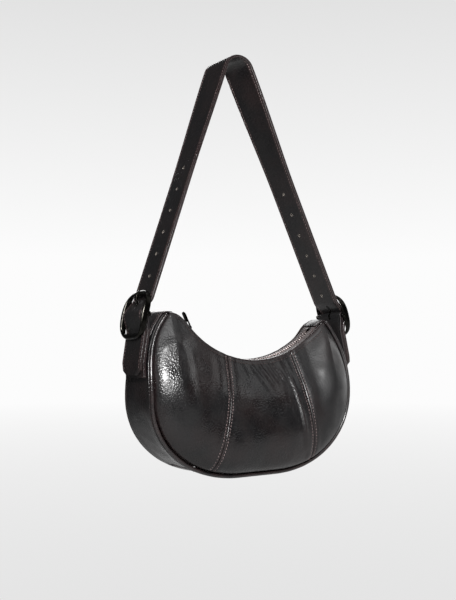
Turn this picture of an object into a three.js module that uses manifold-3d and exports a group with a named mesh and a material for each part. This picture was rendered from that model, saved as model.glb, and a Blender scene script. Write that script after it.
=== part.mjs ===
// Crescent leather shoulder bag with a curved zip and a strap on two buckles.
// Millimetres, +Z up, +X along the bag, -Y to the front, origin under the middle of the base.
import * as THREE from "three";
import { mergeVertices } from "three/addons/utils/BufferGeometryUtils.js";
import Module from "manifold-3d";

// Gaps between pieces that touch
const CLEARANCE = 0.3;

// Outline of the bag from the front: flat base, round lower corners, sides that turn in to two horns,
// of which the right one hangs lower
const HALF_LENGTH = 127;
const WIDEST_Z = 86;
const BASE_FLAT = 22;
const CORNER_POWER = 2.1;
const HORN_X = 104;
const HORN_LEFT_Z = 172;
const HORN_RIGHT_Z = 164;

// Gusset, the strip that runs under the bag from horn to horn
const GUSSET_WIDTH = 52;
const GUSSET_HORN_WIDTH = 28;
const GUSSET_THICKNESS = 2;
const BASE_SEAM_ANGLE = 30;

// Front and back panels
const PANEL_THICKNESS = 2;
const PANEL_BULGE = 22;
const BULGE_LOW_POWER = 0.55;
const BULGE_TOP_POWER = 1;
const BULGE_HORN_POWER = 0.8;
const BULGE_ACROSS_POWER = 2.4;
const BULGE_ACROSS_ROOT = 0.55;
const HORN_START_X = 72;
const EDGE_RISE_POWER = 1.5;
const SEAM_TOP_X = 41;
const SEAM_BOTTOM_X = 63;
const SEAM_TOP_SHIFT = 14;
const SEAM_BOTTOM_SHIFT = 4;
const PIPING_RADIUS = 2;
const LINING_THICKNESS = 0.8;
const LINING_GAP = 0.6;

// Zip along the hollow top edge, whose lowest point lies to the right of the middle
const LIP_LOW_Z = 122;
const LIP_HALF_GAP = 12.5;
const ZIP_RADIUS = 112;
const ZIP_CENTRE_X = 10;
const ZIP_LEFT_ANGLE = 48;
const ZIP_RIGHT_ANGLE = 46;
const TAPE_DROP = 1.2;
const TAPE_THICKNESS = 0.9;
const TAPE_UNDER_TAB = 4;
const TOOTH_PITCH = 4.4;
const TOOTH_HEIGHT = 3;
const TOOTH_REACH = 1.2;
const BEAD_WIDTH = 1.2;
const TEETH_LEFT_X = -81.8;
const TEETH_RIGHT_X = 87.6;
const STOP_LENGTH = 3;
const END_TAB_GAP = 1.5;
const END_TAB_WRAP = 26;
const END_TAB_HALF_WIDTH = 12;
const END_TAB_THICKNESS = 1.6;

// Zip slider and its pull
const SLIDER_LENGTH = 13;
const SLIDER_WIDTH = 9;
const SLIDER_TOP = 1.5;
const SLIDER_BOTTOM = 1.1;
const POST_LENGTH = 7;
const POST_THICKNESS = 0.6;
const BRIDGE_LENGTH = 6.4;
const BRIDGE_WIDTH = 2.4;
const BRIDGE_HOLE = 1.5;
const BRIDGE_WALL = 0.9;
const PULL_LENGTH = 19;
const PULL_WIDTH = 7;
const PULL_THICKNESS = 1.6;
const PULL_ARM = 1.5;
const PULL_BAR = 1.7;
const PULL_WINDOW = 6;
const PULL_REST_ANGLE = 160;

// Chapes, the leather loops that hold the buckles to the gusset
const CHAPE_PLY = 1.8;
const CHAPE_LOW_Z = 106;
const CHAPE_BEND_Z = 122;
const SWING_Z = 118;

// Buckles: oval frames with a flat back and a bowed front, and a bar across the middle
const BUCKLE_IN = 1.3;
const BUCKLE_Z = 170;
const FRAME_LEAN_ANGLE = 15;
const FRAME_SIDE_GAP = 0.6;
const FRAME_SIDE_BAND = 3.6;
const FRAME_END_BAND = 6;
const FRAME_HALF_HEIGHT = 26;
const FRAME_THICKNESS = 3;
const FRAME_BOW = 5;
const FRAME_TOP_POWER = 2.6;
const FRAME_BOTTOM_POWER = 3.4;
const WINDOW_POWER = 8;
const BAR_BACK = 0.8;
const BAR_RADIUS = 1.6;
const BARREL_WALL = 1.1;
const PRONG_RADIUS = 1.1;
const PRONG_EYE_WALL = 1.4;
const PRONG_EYE_WIDTH = 4;

// Strap
const STRAP_WIDTH = 41;
const STRAP_PLY = 1.4;
const STRAP_PASS_SHARE = 0.8;
const CREST_X = -6;
const CREST_Z = 437;
const CREST_RADIUS = 16;
const TAIL_Z = 109;
const TAIL_TIP = 8;
const TAIL_TIP_WIDTH = 24;
const STRAP_LEAN_BACK_ANGLE = 3.5;
const STRAP_TWIST_ANGLE = 20;
const TWIST_FROM_Z = 310;
const TWIST_SPAN = 22;
const HOLE_RADIUS = 1.7;
const HOLE_PITCH = 25;
const FIRST_HOLE_LEFT = 26.8;
const FIRST_HOLE_RIGHT = 10;
const HOLES_EACH_SIDE = 6;
const SLOT_LOW = 2.8;
const SLOT_HIGH = 12.8;

// Worked-out sizes
const radians = THREE.MathUtils.degToRad;
const ZIP_CENTRE_Z = LIP_LOW_Z + ZIP_RADIUS;
const PANEL_INSET = 2 * PIPING_RADIUS + 2 * CLEARANCE;
const PANEL_STEP = CLEARANCE + PIPING_RADIUS;
const TAPE_EDGE = LIP_HALF_GAP - PANEL_THICKNESS - CLEARANCE;
const ROW_GAP = POST_THICKNESS / 2 + CLEARANCE;
const BEAD_EDGE = ROW_GAP + TOOTH_REACH + BEAD_WIDTH;
const SLIDER_GAP = TOOTH_HEIGHT / 2 + CLEARANCE;
const SLIDER_REST = radians(ZIP_LEFT_ANGLE) - SLIDER_LENGTH / 2 / ZIP_RADIUS;
const END_TAB_X = TEETH_RIGHT_X + STOP_LENGTH + END_TAB_GAP;
const TAPE_END_X = END_TAB_X + TAPE_UNDER_TAB;
const CHAPE_INNER_X = HALF_LENGTH + CLEARANCE;
const BUCKLE_X = CHAPE_INNER_X - BUCKLE_IN;
const EYE_BORE = BAR_RADIUS + CLEARANCE;
const EYE_RADIUS = EYE_BORE + CHAPE_PLY;
const STRAP_THICKNESS = 2 * STRAP_PLY + CLEARANCE;
const STRAP_OVER_BAR = EYE_RADIUS + CLEARANCE + STRAP_THICKNESS / 2;
const STRAP_BEHIND = FRAME_THICKNESS / 2 + CLEARANCE + STRAP_THICKNESS / 2;
const FRAME_INNER = STRAP_WIDTH / 2 + FRAME_SIDE_GAP;
const FRAME_OUTER = FRAME_INNER + FRAME_SIDE_BAND;
const WINDOW_HALF_HEIGHT = FRAME_HALF_HEIGHT - FRAME_END_BAND;
const STRAP_PASS = STRAP_PASS_SHARE * WINDOW_HALF_HEIGHT;
const TAIL_X = CHAPE_INNER_X + 2 * CHAPE_PLY + CLEARANCE + STRAP_THICKNESS / 2;

// How finely curves are stepped
const CORNER_STEPS = 11;
const SIDE_STEPS = 8;
const LIP_STEPS = 40;
const PANEL_STEPS = 10;
const ROUND_STEPS = 12;
const PIPING_SIDES = 7;
const FRAME_STEPS = 40;
const SHORT_STEPS = 4;
const PRONG_STEPS = 12;
const LEG_STEPS = 14;

const wasm = await Module();
wasm.setup();

// Solids and booleans

function toSolid(geometry) {
  const bare = geometry.clone();
  bare.deleteAttribute("normal");
  bare.deleteAttribute("uv");
  const merged = mergeVertices(bare, 1e-4);
  const vertProperties = new Float32Array(merged.attributes.position.array);
  const triVerts = new Uint32Array(merged.index.array);
  return new wasm.Manifold(new wasm.Mesh({ numProp: 3, vertProperties, triVerts }));
}

function toGeometry(solid) {
  const mesh = solid.getMesh();
  const geometry = new THREE.BufferGeometry();
  geometry.setAttribute("position", new THREE.BufferAttribute(mesh.vertProperties, 3));
  geometry.setIndex(new THREE.BufferAttribute(mesh.triVerts, 1));
  return geometry;
}

function join(...geometries) {
  return toGeometry(geometries.map(toSolid).reduce((sum, next) => sum.add(next)));
}

function cut(geometry, ...cutters) {
  return toGeometry(cutters.map(toSolid).reduce((rest, next) => rest.subtract(next), toSolid(geometry)));
}

// A closed mesh from points and faces, with its faces turned to point outwards.
function closedMesh(points, faces) {
  let volume = 0;
  for (const [a, b, c] of faces) {
    volume += points[a].dot(points[b].clone().cross(points[c]));
  }
  const index = faces.flatMap(([a, b, c]) => (volume > 0 ? [a, b, c] : [a, c, b]));
  const geometry = new THREE.BufferGeometry().setFromPoints(points);
  geometry.setIndex(index);
  return geometry;
}

// A solid strip through sections of equally many corners each, with flat ends or closed into a ring.
function strip(sections, closed = false) {
  const corners = sections[0].length;
  const points = sections.flat();
  const faces = [];
  const runs = closed ? sections.length : sections.length - 1;
  for (let s = 0; s < runs; s++) {
    for (let k = 0; k < corners; k++) {
      const a = s * corners + k;
      const b = s * corners + ((k + 1) % corners);
      const c = (b + corners) % points.length;
      const d = (a + corners) % points.length;
      faces.push([a, b, c], [a, c, d]);
    }
  }
  if (!closed) {
    const last = points.length - corners;
    for (let k = 1; k + 1 < corners; k++) {
      faces.push([0, k + 1, k], [last, last + k, last + k + 1]);
    }
  }
  return closedMesh(points, faces);
}

// A shell between a grid of outer points and the same grid moved inwards.
function shell(outer, inner) {
  const rows = outer.length;
  const columns = outer[0].length;
  const at = (side, i, j) => (side * rows + i) * columns + j;
  const faces = [];
  for (let i = 0; i + 1 < rows; i++) {
    for (let j = 0; j + 1 < columns; j++) {
      const quad = (side) => [at(side, i, j), at(side, i + 1, j), at(side, i + 1, j + 1), at(side, i, j + 1)];
      const [a, b, c, d] = quad(0);
      const [e, f, g, h] = quad(1);
      faces.push([a, b, c], [a, c, d], [e, g, f], [e, h, g]);
    }
  }
  const rim = [];
  for (let i = 0; i + 1 < rows; i++) rim.push([i, 0]);
  for (let j = 0; j + 1 < columns; j++) rim.push([rows - 1, j]);
  for (let i = rows - 1; i > 0; i--) rim.push([i, columns - 1]);
  for (let j = columns - 1; j > 0; j--) rim.push([0, j]);
  rim.forEach(([i, j], k) => {
    const [m, n] = rim[(k + 1) % rim.length];
    const [a, b, c, d] = [at(0, i, j), at(1, i, j), at(1, m, n), at(0, m, n)];
    faces.push([a, b, c], [a, c, d]);
  });
  return closedMesh([...outer.flat(), ...inner.flat()], faces);
}

// Plane curves, as lists of [x, z]

function normals(path) {
  return path.map((point, i) => {
    const [ax, az] = path[Math.max(i - 1, 0)];
    const [bx, bz] = path[Math.min(i + 1, path.length - 1)];
    const length = Math.hypot(bx - ax, bz - az);
    return [(bz - az) / length, (ax - bx) / length];
  });
}

function offset(path, distance) {
  const outward = normals(path);
  return path.map(([x, z], i) => [x + outward[i][0] * distance, z + outward[i][1] * distance]);
}

// The point at a share of a path's length.
function along(path, share) {
  const lengths = path.slice(1).map(([x, z], i) => Math.hypot(x - path[i][0], z - path[i][1]));
  let left = share * lengths.reduce((sum, next) => sum + next, 0);
  let i = 0;
  while (i + 1 < lengths.length && left > lengths[i]) {
    left -= lengths[i];
    i += 1;
  }
  const part = Math.min(left / lengths[i], 1);
  return [0, 1].map((k) => THREE.MathUtils.lerp(path[i][k], path[i + 1][k], part));
}

const mirrored = (path) => path.map(([x, z]) => [-x, z]).reverse();
const unsided = (path) => path.map(([x, z]) => [Math.abs(x), z]);
const hornZ = (side) => (side < 0 ? HORN_LEFT_Z : HORN_RIGHT_Z);
const ease = (share) => THREE.MathUtils.smoothstep(share, 0, 1);

// Half outline of the gusset's outer face: flat base and round corner, then the side up to the horn.
function cornerPath(fromTurn, toTurn) {
  return Array.from({ length: CORNER_STEPS + 1 }, (_, i) => {
    const turn = radians(THREE.MathUtils.lerp(fromTurn, toTurn, i / CORNER_STEPS));
    const power = 2 / CORNER_POWER;
    const x = BASE_FLAT + (HALF_LENGTH - BASE_FLAT) * Math.sin(turn) ** power;
    return [x, WIDEST_Z * (1 - Math.max(Math.cos(turn), 0) ** power)];
  });
}

function sidePath(side) {
  return Array.from({ length: SIDE_STEPS + 1 }, (_, i) => {
    const share = i / SIDE_STEPS;
    const x = HALF_LENGTH - (HALF_LENGTH - HORN_X) * share ** 3;
    return [x, THREE.MathUtils.lerp(WIDEST_Z, hornZ(side), share)];
  });
}

const halfOutline = (side) => [[0, 0], ...cornerPath(0, 90), ...sidePath(side).slice(1)];
const fullOutline = [...mirrored(halfOutline(-1)).slice(0, -1), ...halfOutline(1)];

// Where the zip's round stretch ends on one side, and how the lip eases from there to the horn.
function lipEnd(side) {
  const angle = radians(side < 0 ? ZIP_LEFT_ANGLE : ZIP_RIGHT_ANGLE);
  const reach = ZIP_RADIUS * Math.sin(angle);
  const z = ZIP_CENTRE_Z - ZIP_RADIUS * Math.cos(angle);
  const slope = Math.tan(angle);
  const run = HORN_X - side * ZIP_CENTRE_X - reach;
  const easing = (slope * run - (hornZ(side) - z)) / run ** 2;
  return { reach, z, slope, easing };
}

const LIP_ENDS = { left: lipEnd(-1), right: lipEnd(1) };

// Height of the panels' top edge beside the zip.
function lipZ(x) {
  const over = x - ZIP_CENTRE_X;
  const end = over < 0 ? LIP_ENDS.left : LIP_ENDS.right;
  const past = Math.abs(over) - end.reach;
  if (past <= 0) return ZIP_CENTRE_Z - Math.sqrt(ZIP_RADIUS ** 2 - over ** 2);
  return end.z + end.slope * past - end.easing * past ** 2;
}

function lipPath(fromX, toX, steps = LIP_STEPS) {
  return Array.from({ length: steps + 1 }, (_, i) => {
    const x = THREE.MathUtils.lerp(fromX, toX, i / steps);
    return [x, lipZ(x)];
  });
}

function gussetHalfWidth(z) {
  const share = ease((z - WIDEST_Z) / (HORN_RIGHT_Z - WIDEST_Z));
  return THREE.MathUtils.lerp(GUSSET_WIDTH, GUSSET_HORN_WIDTH, share) / 2;
}

// Front and back panels

// Half outline of the panels, inside the piping, ending where it meets the lip.
const PANEL_HORN_X = HORN_X - PANEL_INSET - 4 * CLEARANCE;
const panelCorner = (side) => [PANEL_HORN_X, lipZ(side * PANEL_HORN_X)];
const panelOutline = (side) => [...offset(halfOutline(side), -PANEL_INSET).slice(0, -1), panelCorner(side)];
const WIDEST_INDEX = CORNER_STEPS + 1;
const PANEL_HALF_LENGTH = HALF_LENGTH - PANEL_INSET;

// Lowest and highest z of the panel at an x.
function panelSpan(x) {
  const reach = Math.min(Math.abs(x), PANEL_HALF_LENGTH);
  const over = THREE.MathUtils.clamp((reach - BASE_FLAT) / (PANEL_HALF_LENGTH - BASE_FLAT), 0, 1);
  const low = WIDEST_Z - (WIDEST_Z - PANEL_INSET) * (1 - over ** CORNER_POWER) ** (1 / CORNER_POWER);
  if (reach <= PANEL_HORN_X) return [low, lipZ(x)];
  const turnIn = (PANEL_HALF_LENGTH - reach) / (PANEL_HALF_LENGTH - PANEL_HORN_X);
  const high = WIDEST_Z + (panelCorner(Math.sign(x))[1] - WIDEST_Z) * Math.cbrt(turnIn);
  return [low, high];
}

// Fullness of the panel from its lower edge, at rise 0, to its lip, at rise 1.
const swell = (rise, topPower) => rise ** BULGE_LOW_POWER * (1 - rise) ** topPower;
const BULGE_PEAK = swell(BULGE_LOW_POWER / (BULGE_LOW_POWER + BULGE_TOP_POWER), BULGE_TOP_POWER);

// How far the panel's outer face stands from the bag's middle plane.
function panelDepth(x, z) {
  const reach = Math.min(Math.abs(x), PANEL_HALF_LENGTH);
  const [low, high] = panelSpan(x);
  const rise = THREE.MathUtils.clamp((z - low) / Math.max(high - low, 1), 0, 1);
  const sideEdge = gussetHalfWidth(z) + PANEL_STEP;
  const hornward = ease((reach - HORN_START_X) / (PANEL_HORN_X - HORN_START_X));
  const topEdge = THREE.MathUtils.lerp(LIP_HALF_GAP, sideEdge, hornward);
  const edge = THREE.MathUtils.lerp(sideEdge, topEdge, rise ** EDGE_RISE_POWER);
  const across = (1 - (reach / PANEL_HALF_LENGTH) ** BULGE_ACROSS_POWER) ** BULGE_ACROSS_ROOT;
  const topPower = THREE.MathUtils.lerp(BULGE_TOP_POWER, BULGE_HORN_POWER, hornward);
  return edge + (PANEL_BULGE * across * swell(rise, topPower)) / BULGE_PEAK;
}

// A patch of [x, z] points between four edge paths.
function patch(bottom, top, left, right, steps) {
  const blend = (a, b, t) => [THREE.MathUtils.lerp(a[0], b[0], t), THREE.MathUtils.lerp(a[1], b[1], t)];
  return Array.from({ length: steps + 1 }, (_, i) =>
    Array.from({ length: steps + 1 }, (_, j) => {
      const u = i / steps;
      const v = j / steps;
      const rows = blend(along(bottom, u), along(top, u), v);
      const columns = blend(along(left, v), along(right, v), u);
      const corners = blend(blend(bottom[0], bottom.at(-1), u), blend(top[0], top.at(-1), u), v);
      return [0, 1].map((k) => rows[k] + columns[k] - corners[k]);
    }),
  );
}

// Points of a patch on the panel surface, moved inwards along its normals by a distance.
function surface(grid, inward, side) {
  const point = ([x, z]) => new THREE.Vector3(x, side * panelDepth(x, z), z);
  const outer = grid.map((row) => row.map(point));
  return outer.map((row, i) =>
    row.map((here, j) => {
      const before = outer[Math.max(i - 1, 0)][j];
      const after = outer[Math.min(i + 1, outer.length - 1)][j];
      const below = row[Math.max(j - 1, 0)];
      const above = row[Math.min(j + 1, row.length - 1)];
      const normal = after.clone().sub(before).cross(above.clone().sub(below)).normalize();
      if (normal.y * side < 0) normal.negate();
      return here.clone().addScaledVector(normal, -inward);
    }),
  );
}

function panelShell(grid, depth, thickness, side) {
  return shell(surface(grid, depth, side), surface(grid, depth + thickness, side));
}

const seamBottom = (x) => [x, panelSpan(x)[0]];
const seamTop = (side, x) => [x, lipZ(side * x)];

// A seam's lower and upper ends on one half of the bag, as distances from the middle.
function seamReach(side, seamGap) {
  const bottom = SEAM_BOTTOM_X + side * SEAM_BOTTOM_SHIFT;
  const top = SEAM_TOP_X + side * SEAM_TOP_SHIFT;
  return [bottom + seamGap, top + seamGap];
}

// The grids keep a distance from the seams, which is none on the lining.
function centreGrid(seamGap) {
  const lowerEdge = (side) => {
    const [low] = seamReach(side, -seamGap);
    return [...panelOutline(side).filter(([x, z]) => x < low && z < WIDEST_Z), seamBottom(low)];
  };
  const seam = (side) => {
    const [low, high] = seamReach(side, -seamGap);
    return [seamBottom(low), seamTop(side, high)].map(([x, z]) => [side * x, z]);
  };
  const bottom = [...mirrored(lowerEdge(-1)).slice(0, -1), ...lowerEdge(1)];
  const [left, right] = [seam(-1), seam(1)];
  return patch(bottom, lipPath(left[1][0], right[1][0]), left, right, PANEL_STEPS);
}

function sideGrid(side, seamGap) {
  const [low, high] = seamReach(side, seamGap);
  const edge = panelOutline(side);
  const corner = edge.slice(0, WIDEST_INDEX + 1).filter(([x]) => x > low);
  const bottom = [seamBottom(low), ...corner];
  const top = unsided(lipPath(side * high, side * PANEL_HORN_X));
  return patch(bottom, top, [seamBottom(low), seamTop(side, high)], edge.slice(WIDEST_INDEX), PANEL_STEPS);
}

const flipped = (grid) => grid.map((row) => row.map(([x, z]) => [-x, z]));

// One lining behind the three panels of a face, ending a row below the lip.
function liningGrid() {
  const right = sideGrid(1, 0);
  const left = flipped(sideGrid(-1, 0)).reverse();
  const whole = [...left.slice(0, -1), ...centreGrid(0), ...right.slice(1)];
  return whole.map((row) => row.slice(0, -1));
}

// Gusset and piping

// A strip along an [x, z] path, between two distances from it and two y values at each point.
function wall(path, out, inn, lowY, highY) {
  const outer = offset(path, out);
  const inner = offset(path, inn);
  return strip(
    path.map(([, z], i) => {
      const [front, back] = [lowY(z, i), highY(z, i)];
      return [
        new THREE.Vector3(outer[i][0], front, outer[i][1]),
        new THREE.Vector3(outer[i][0], back, outer[i][1]),
        new THREE.Vector3(inner[i][0], back, inner[i][1]),
        new THREE.Vector3(inner[i][0], front, inner[i][1]),
      ];
    }),
  );
}

function gusset(path) {
  return wall(path, 0, -GUSSET_THICKNESS, (z) => -gussetHalfWidth(z), gussetHalfWidth);
}

function gussetLining() {
  const depth = GUSSET_THICKNESS + CLEARANCE;
  const back = (z) => gussetHalfWidth(z) - CLEARANCE;
  return wall(fullOutline, -depth, -depth - LINING_THICKNESS, (z) => -back(z), back);
}

function piping(side) {
  const middle = offset(fullOutline, -PIPING_RADIUS);
  const outward = normals(middle);
  return strip(
    middle.map(([x, z], i) => {
      const y = side * (gussetHalfWidth(fullOutline[i][1]) + CLEARANCE + PIPING_RADIUS);
      return Array.from({ length: PIPING_SIDES }, (_, k) => {
        const turn = (2 * Math.PI * k) / PIPING_SIDES;
        const reach = PIPING_RADIUS * Math.cos(turn);
        const lift = PIPING_RADIUS * Math.sin(turn);
        return new THREE.Vector3(x + outward[i][0] * reach, y + lift, z + outward[i][1] * reach);
      });
    }),
  );
}

// Zip

const zipLine = (fromX, toX, steps) => offset(lipPath(fromX, toX, steps), TAPE_DROP);

function zipTape(side) {
  const path = zipLine(-TAPE_END_X, TAPE_END_X, LIP_STEPS);
  const edges = [side * (BEAD_EDGE + CLEARANCE), side * TAPE_EDGE].sort((a, b) => a - b);
  const half = TAPE_THICKNESS / 2;
  return wall(path, half, -half, () => edges[0], () => edges[1]);
}

// One row of teeth on its bead: teeth and gaps follow each other along the zip.
function zipTeeth(side) {
  const count = Math.round((TEETH_RIGHT_X - TEETH_LEFT_X) / TOOTH_PITCH) * 4;
  const path = zipLine(TEETH_LEFT_X, TEETH_RIGHT_X, count);
  const outward = normals(path);
  return strip(
    path.map(([x, z], i) => {
      const tooth = i % 4 < 2 === side > 0;
      const near = tooth ? ROW_GAP : ROW_GAP + TOOTH_REACH;
      const half = tooth ? TOOTH_HEIGHT / 2 : TOOTH_HEIGHT / 3;
      const [nx, nz] = outward[i];
      const corner = (y, out) => new THREE.Vector3(x + nx * out, side * y, z + nz * out);
      return [corner(near, half), corner(BEAD_EDGE, half), corner(BEAD_EDGE, -half), corner(near, -half)];
    }),
  );
}

function zipStop(fromX, toX) {
  const half = TOOTH_HEIGHT / 2;
  return wall(zipLine(fromX, toX, SHORT_STEPS), half, -half, () => -BEAD_EDGE, () => BEAD_EDGE);
}

// Leather tab over the end of the zip, folded down over the gusset's end.
function zipEndTab(side) {
  const overTape = CLEARANCE + TAPE_THICKNESS / 2 - TAPE_DROP;
  const onZip = offset(unsided(lipPath(side * HORN_X, side * END_TAB_X, SHORT_STEPS)), overTape);
  const foldLow = hornZ(side) - END_TAB_WRAP;
  const start = along(sidePath(side), 1 - END_TAB_WRAP / (hornZ(side) - WIDEST_Z));
  const onGusset = offset([start, ...sidePath(side).filter(([, z]) => z > foldLow + CLEARANCE)], CLEARANCE);
  const path = [...onGusset, ...onZip.slice(1)];
  const tab = wall(path, END_TAB_THICKNESS, 0, () => -END_TAB_HALF_WIDTH, () => END_TAB_HALF_WIDTH);
  return side > 0 ? tab : closedMirror(tab);
}

// The same closed mesh on the other side of the bag.
function closedMirror(geometry) {
  const copy = geometry.clone().applyMatrix4(new THREE.Matrix4().makeScale(-1, 1, 1));
  const index = Array.from(copy.index.array);
  for (let i = 0; i < index.length; i += 3) {
    [index[i + 1], index[i + 2]] = [index[i + 2], index[i + 1]];
  }
  copy.setIndex(index);
  return copy;
}

// Slider, drawn at the bottom of the zip's arc and turned to its place about the arc's centre

function arcBlock(length, fromRadius, toRadius, width) {
  const half = length / 2 / ZIP_RADIUS;
  const sections = Array.from({ length: SHORT_STEPS + 1 }, (_, i) => {
    const turn = THREE.MathUtils.lerp(-half, half, i / SHORT_STEPS);
    const corner = (radius, y) =>
      new THREE.Vector3(radius * Math.sin(turn), y, ZIP_CENTRE_Z - radius * Math.cos(turn));
    const w = width / 2;
    return [corner(fromRadius, -w), corner(fromRadius, w), corner(toRadius, w), corner(toRadius, -w)];
  });
  return strip(sections);
}

const CHAIN_RADIUS = ZIP_RADIUS + TAPE_DROP;
const PLATE_RADIUS = CHAIN_RADIUS - SLIDER_GAP - SLIDER_TOP;
const HINGE_Z = ZIP_CENTRE_Z - PLATE_RADIUS + BRIDGE_HOLE;

function zipSlider() {
  const top = arcBlock(SLIDER_LENGTH, PLATE_RADIUS, CHAIN_RADIUS - SLIDER_GAP, SLIDER_WIDTH);
  const low = CHAIN_RADIUS + SLIDER_GAP;
  const bottom = arcBlock(SLIDER_LENGTH, low, low + SLIDER_BOTTOM, SLIDER_WIDTH);
  const overlap = SLIDER_BOTTOM / 2;
  const post = arcBlock(POST_LENGTH, CHAIN_RADIUS - SLIDER_GAP - overlap, low + overlap, POST_THICKNESS);
  const plateZ = ZIP_CENTRE_Z - PLATE_RADIUS;
  const arch = new THREE.Shape();
  arch.moveTo(-BRIDGE_LENGTH / 2, plateZ - SLIDER_TOP / 2);
  arch.lineTo(BRIDGE_LENGTH / 2, plateZ - SLIDER_TOP / 2);
  arch.lineTo(BRIDGE_LENGTH / 2, plateZ + BRIDGE_HOLE / 2);
  arch.absarc(0, HINGE_Z, BRIDGE_HOLE + BRIDGE_WALL, 0, Math.PI, false);
  arch.lineTo(-BRIDGE_LENGTH / 2, plateZ + BRIDGE_HOLE / 2);
  const hole = new THREE.Path();
  hole.absarc(0, HINGE_Z, BRIDGE_HOLE, 0, 2 * Math.PI, true);
  arch.holes.push(hole);
  const bridge = extrudeAcross(arch, BRIDGE_WIDTH);
  return join(top, post, bottom, bridge);
}

// An [x, z] shape given a width along Y, centred on the middle plane.
function extrudeAcross(shape, width) {
  const geometry = new THREE.ExtrudeGeometry(shape, {
    depth: width,
    bevelEnabled: false,
    curveSegments: ROUND_STEPS,
  });
  geometry.translate(0, 0, -width / 2);
  return geometry.rotateX(Math.PI / 2);
}

// Flat pull with a window near its end, whose end bar runs through the slider's bridge. It lies back
// towards the left horn.
function zipPull() {
  const near = -PULL_BAR / 2;
  const far = PULL_LENGTH + near;
  const w = PULL_WIDTH / 2;
  const plate = new THREE.Shape();
  plate.moveTo(near, -w);
  plate.lineTo(far - w, -w);
  plate.absarc(far - w, 0, w, -Math.PI / 2, Math.PI / 2, false);
  plate.lineTo(near, w);
  const window = new THREE.Path();
  window.moveTo(PULL_BAR / 2, PULL_ARM - w);
  window.lineTo(PULL_BAR / 2, w - PULL_ARM);
  window.lineTo(PULL_BAR / 2 + PULL_WINDOW, w - PULL_ARM);
  window.lineTo(PULL_BAR / 2 + PULL_WINDOW, PULL_ARM - w);
  plate.holes.push(window);
  const geometry = new THREE.ExtrudeGeometry(plate, {
    depth: PULL_THICKNESS,
    bevelEnabled: false,
    curveSegments: ROUND_STEPS,
  });
  geometry.translate(0, 0, -PULL_THICKNESS / 2).rotateY(-radians(PULL_REST_ANGLE));
  return geometry.translate(0, 0, HINGE_Z);
}

// Strap path in its own plane: tail, behind the frame's lower end, over the bar, behind its upper end,
// up the leg, over the crest and down again

// A place on the right buckle, given up the frame and out of its face, as [x, z].
function buckleToWorld(up, out) {
  const lean = radians(FRAME_LEAN_ANGLE);
  const x = BUCKLE_X - up * Math.sin(lean) + out * Math.cos(lean);
  return [x, BUCKLE_Z + up * Math.cos(lean) + out * Math.sin(lean)];
}

const [BAR_X, BAR_Z] = buckleToWorld(0, -BAR_BACK);
const [PASS_X, PASS_Z] = buckleToWorld(STRAP_PASS, -STRAP_BEHIND);

// How far the strap wraps round the bar to each side of the frame's facing direction.
const PASS_DEPTH = STRAP_BEHIND - BAR_BACK;
const PASS_REACH = Math.hypot(STRAP_PASS, PASS_DEPTH);
const WRAP = Math.atan2(PASS_DEPTH, STRAP_PASS) + Math.asin(STRAP_OVER_BAR / PASS_REACH);

// Lean of a leg above its buckle, tangent to the crest's turn.
function legLean(side) {
  const across = PASS_X - side * CREST_X;
  const up = CREST_Z - PASS_Z;
  return Math.atan2(across, up) - Math.asin(CREST_RADIUS / Math.hypot(across, up));
}

const LEAN = { left: legLean(-1), right: legLean(1) };

function arcPoints(x, z, radius, from, to, steps) {
  return Array.from({ length: steps + 1 }, (_, i) => {
    const turn = THREE.MathUtils.lerp(from, to, i / steps);
    return [x + radius * Math.cos(turn), z + radius * Math.sin(turn)];
  });
}

// Points of the right half below the crest, from the tail's tip up through the buckle.
function legPath() {
  const lean = radians(FRAME_LEAN_ANGLE);
  const overBar = arcPoints(BAR_X, BAR_Z, STRAP_OVER_BAR, lean - WRAP, lean + WRAP, SHORT_STEPS);
  return [
    [TAIL_X, TAIL_Z],
    [TAIL_X, TAIL_Z + TAIL_TIP],
    [TAIL_X, CHAPE_BEND_Z],
    buckleToWorld(-STRAP_PASS, -STRAP_BEHIND),
    ...overBar,
    [PASS_X, PASS_Z],
  ];
}

function strapPath() {
  const crest = arcPoints(CREST_X, CREST_Z, CREST_RADIUS, LEAN.right, Math.PI - LEAN.left, 2 * ROUND_STEPS);
  const rightLeg = Array.from({ length: LEG_STEPS - 1 }, (_, i) =>
    along([[PASS_X, PASS_Z], crest[0]], (i + 1) / LEG_STEPS),
  );
  return [...legPath(), ...rightLeg, ...crest, ...mirrored(legPath())];
}

// The right leg turns about its own line on its way up, because the strap hangs askew over the hook.
function twisted(geometry) {
  const place = geometry.getAttribute("position");
  for (let i = 0; i < place.count; i++) {
    const [x, y, z] = [place.getX(i), place.getY(i), place.getZ(i)];
    const onRight = ease((x - CREST_X + TWIST_SPAN / 2) / TWIST_SPAN);
    const turn = radians(STRAP_TWIST_ANGLE) * onRight * ease((z - TWIST_FROM_Z) / (CREST_Z - TWIST_FROM_Z));
    place.setXYZ(i, x - y * Math.sin(turn), y * Math.cos(turn), z);
  }
  return geometry;
}

function strapPly(from, to) {
  const path = strapPath();
  const last = path.length - 1;
  const half = (z, i) => (i === 0 || i === last ? TAIL_TIP_WIDTH : STRAP_WIDTH) / 2;
  return twisted(wall(path, to, from, (z, i) => -half(z, i), half));
}

// The place at a distance up a leg from its buckle, as a matrix whose Z axis points out of the strap.
function legPlace(side, distance) {
  const lean = side > 0 ? LEAN.right : LEAN.left;
  const x = PASS_X - distance * Math.sin(lean);
  const z = PASS_Z + distance * Math.cos(lean);
  const turn = new THREE.Matrix4().makeRotationY(side * (Math.PI / 2 - lean));
  return new THREE.Matrix4().makeTranslation(side * x, 0, z).multiply(turn);
}

function strapHoles(side, first) {
  return Array.from({ length: HOLES_EACH_SIDE }, (_, k) => {
    const round = barrel(HOLE_RADIUS, 3 * STRAP_THICKNESS).rotateX(Math.PI / 2);
    return round.applyMatrix4(legPlace(side, first + k * HOLE_PITCH));
  });
}

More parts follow.
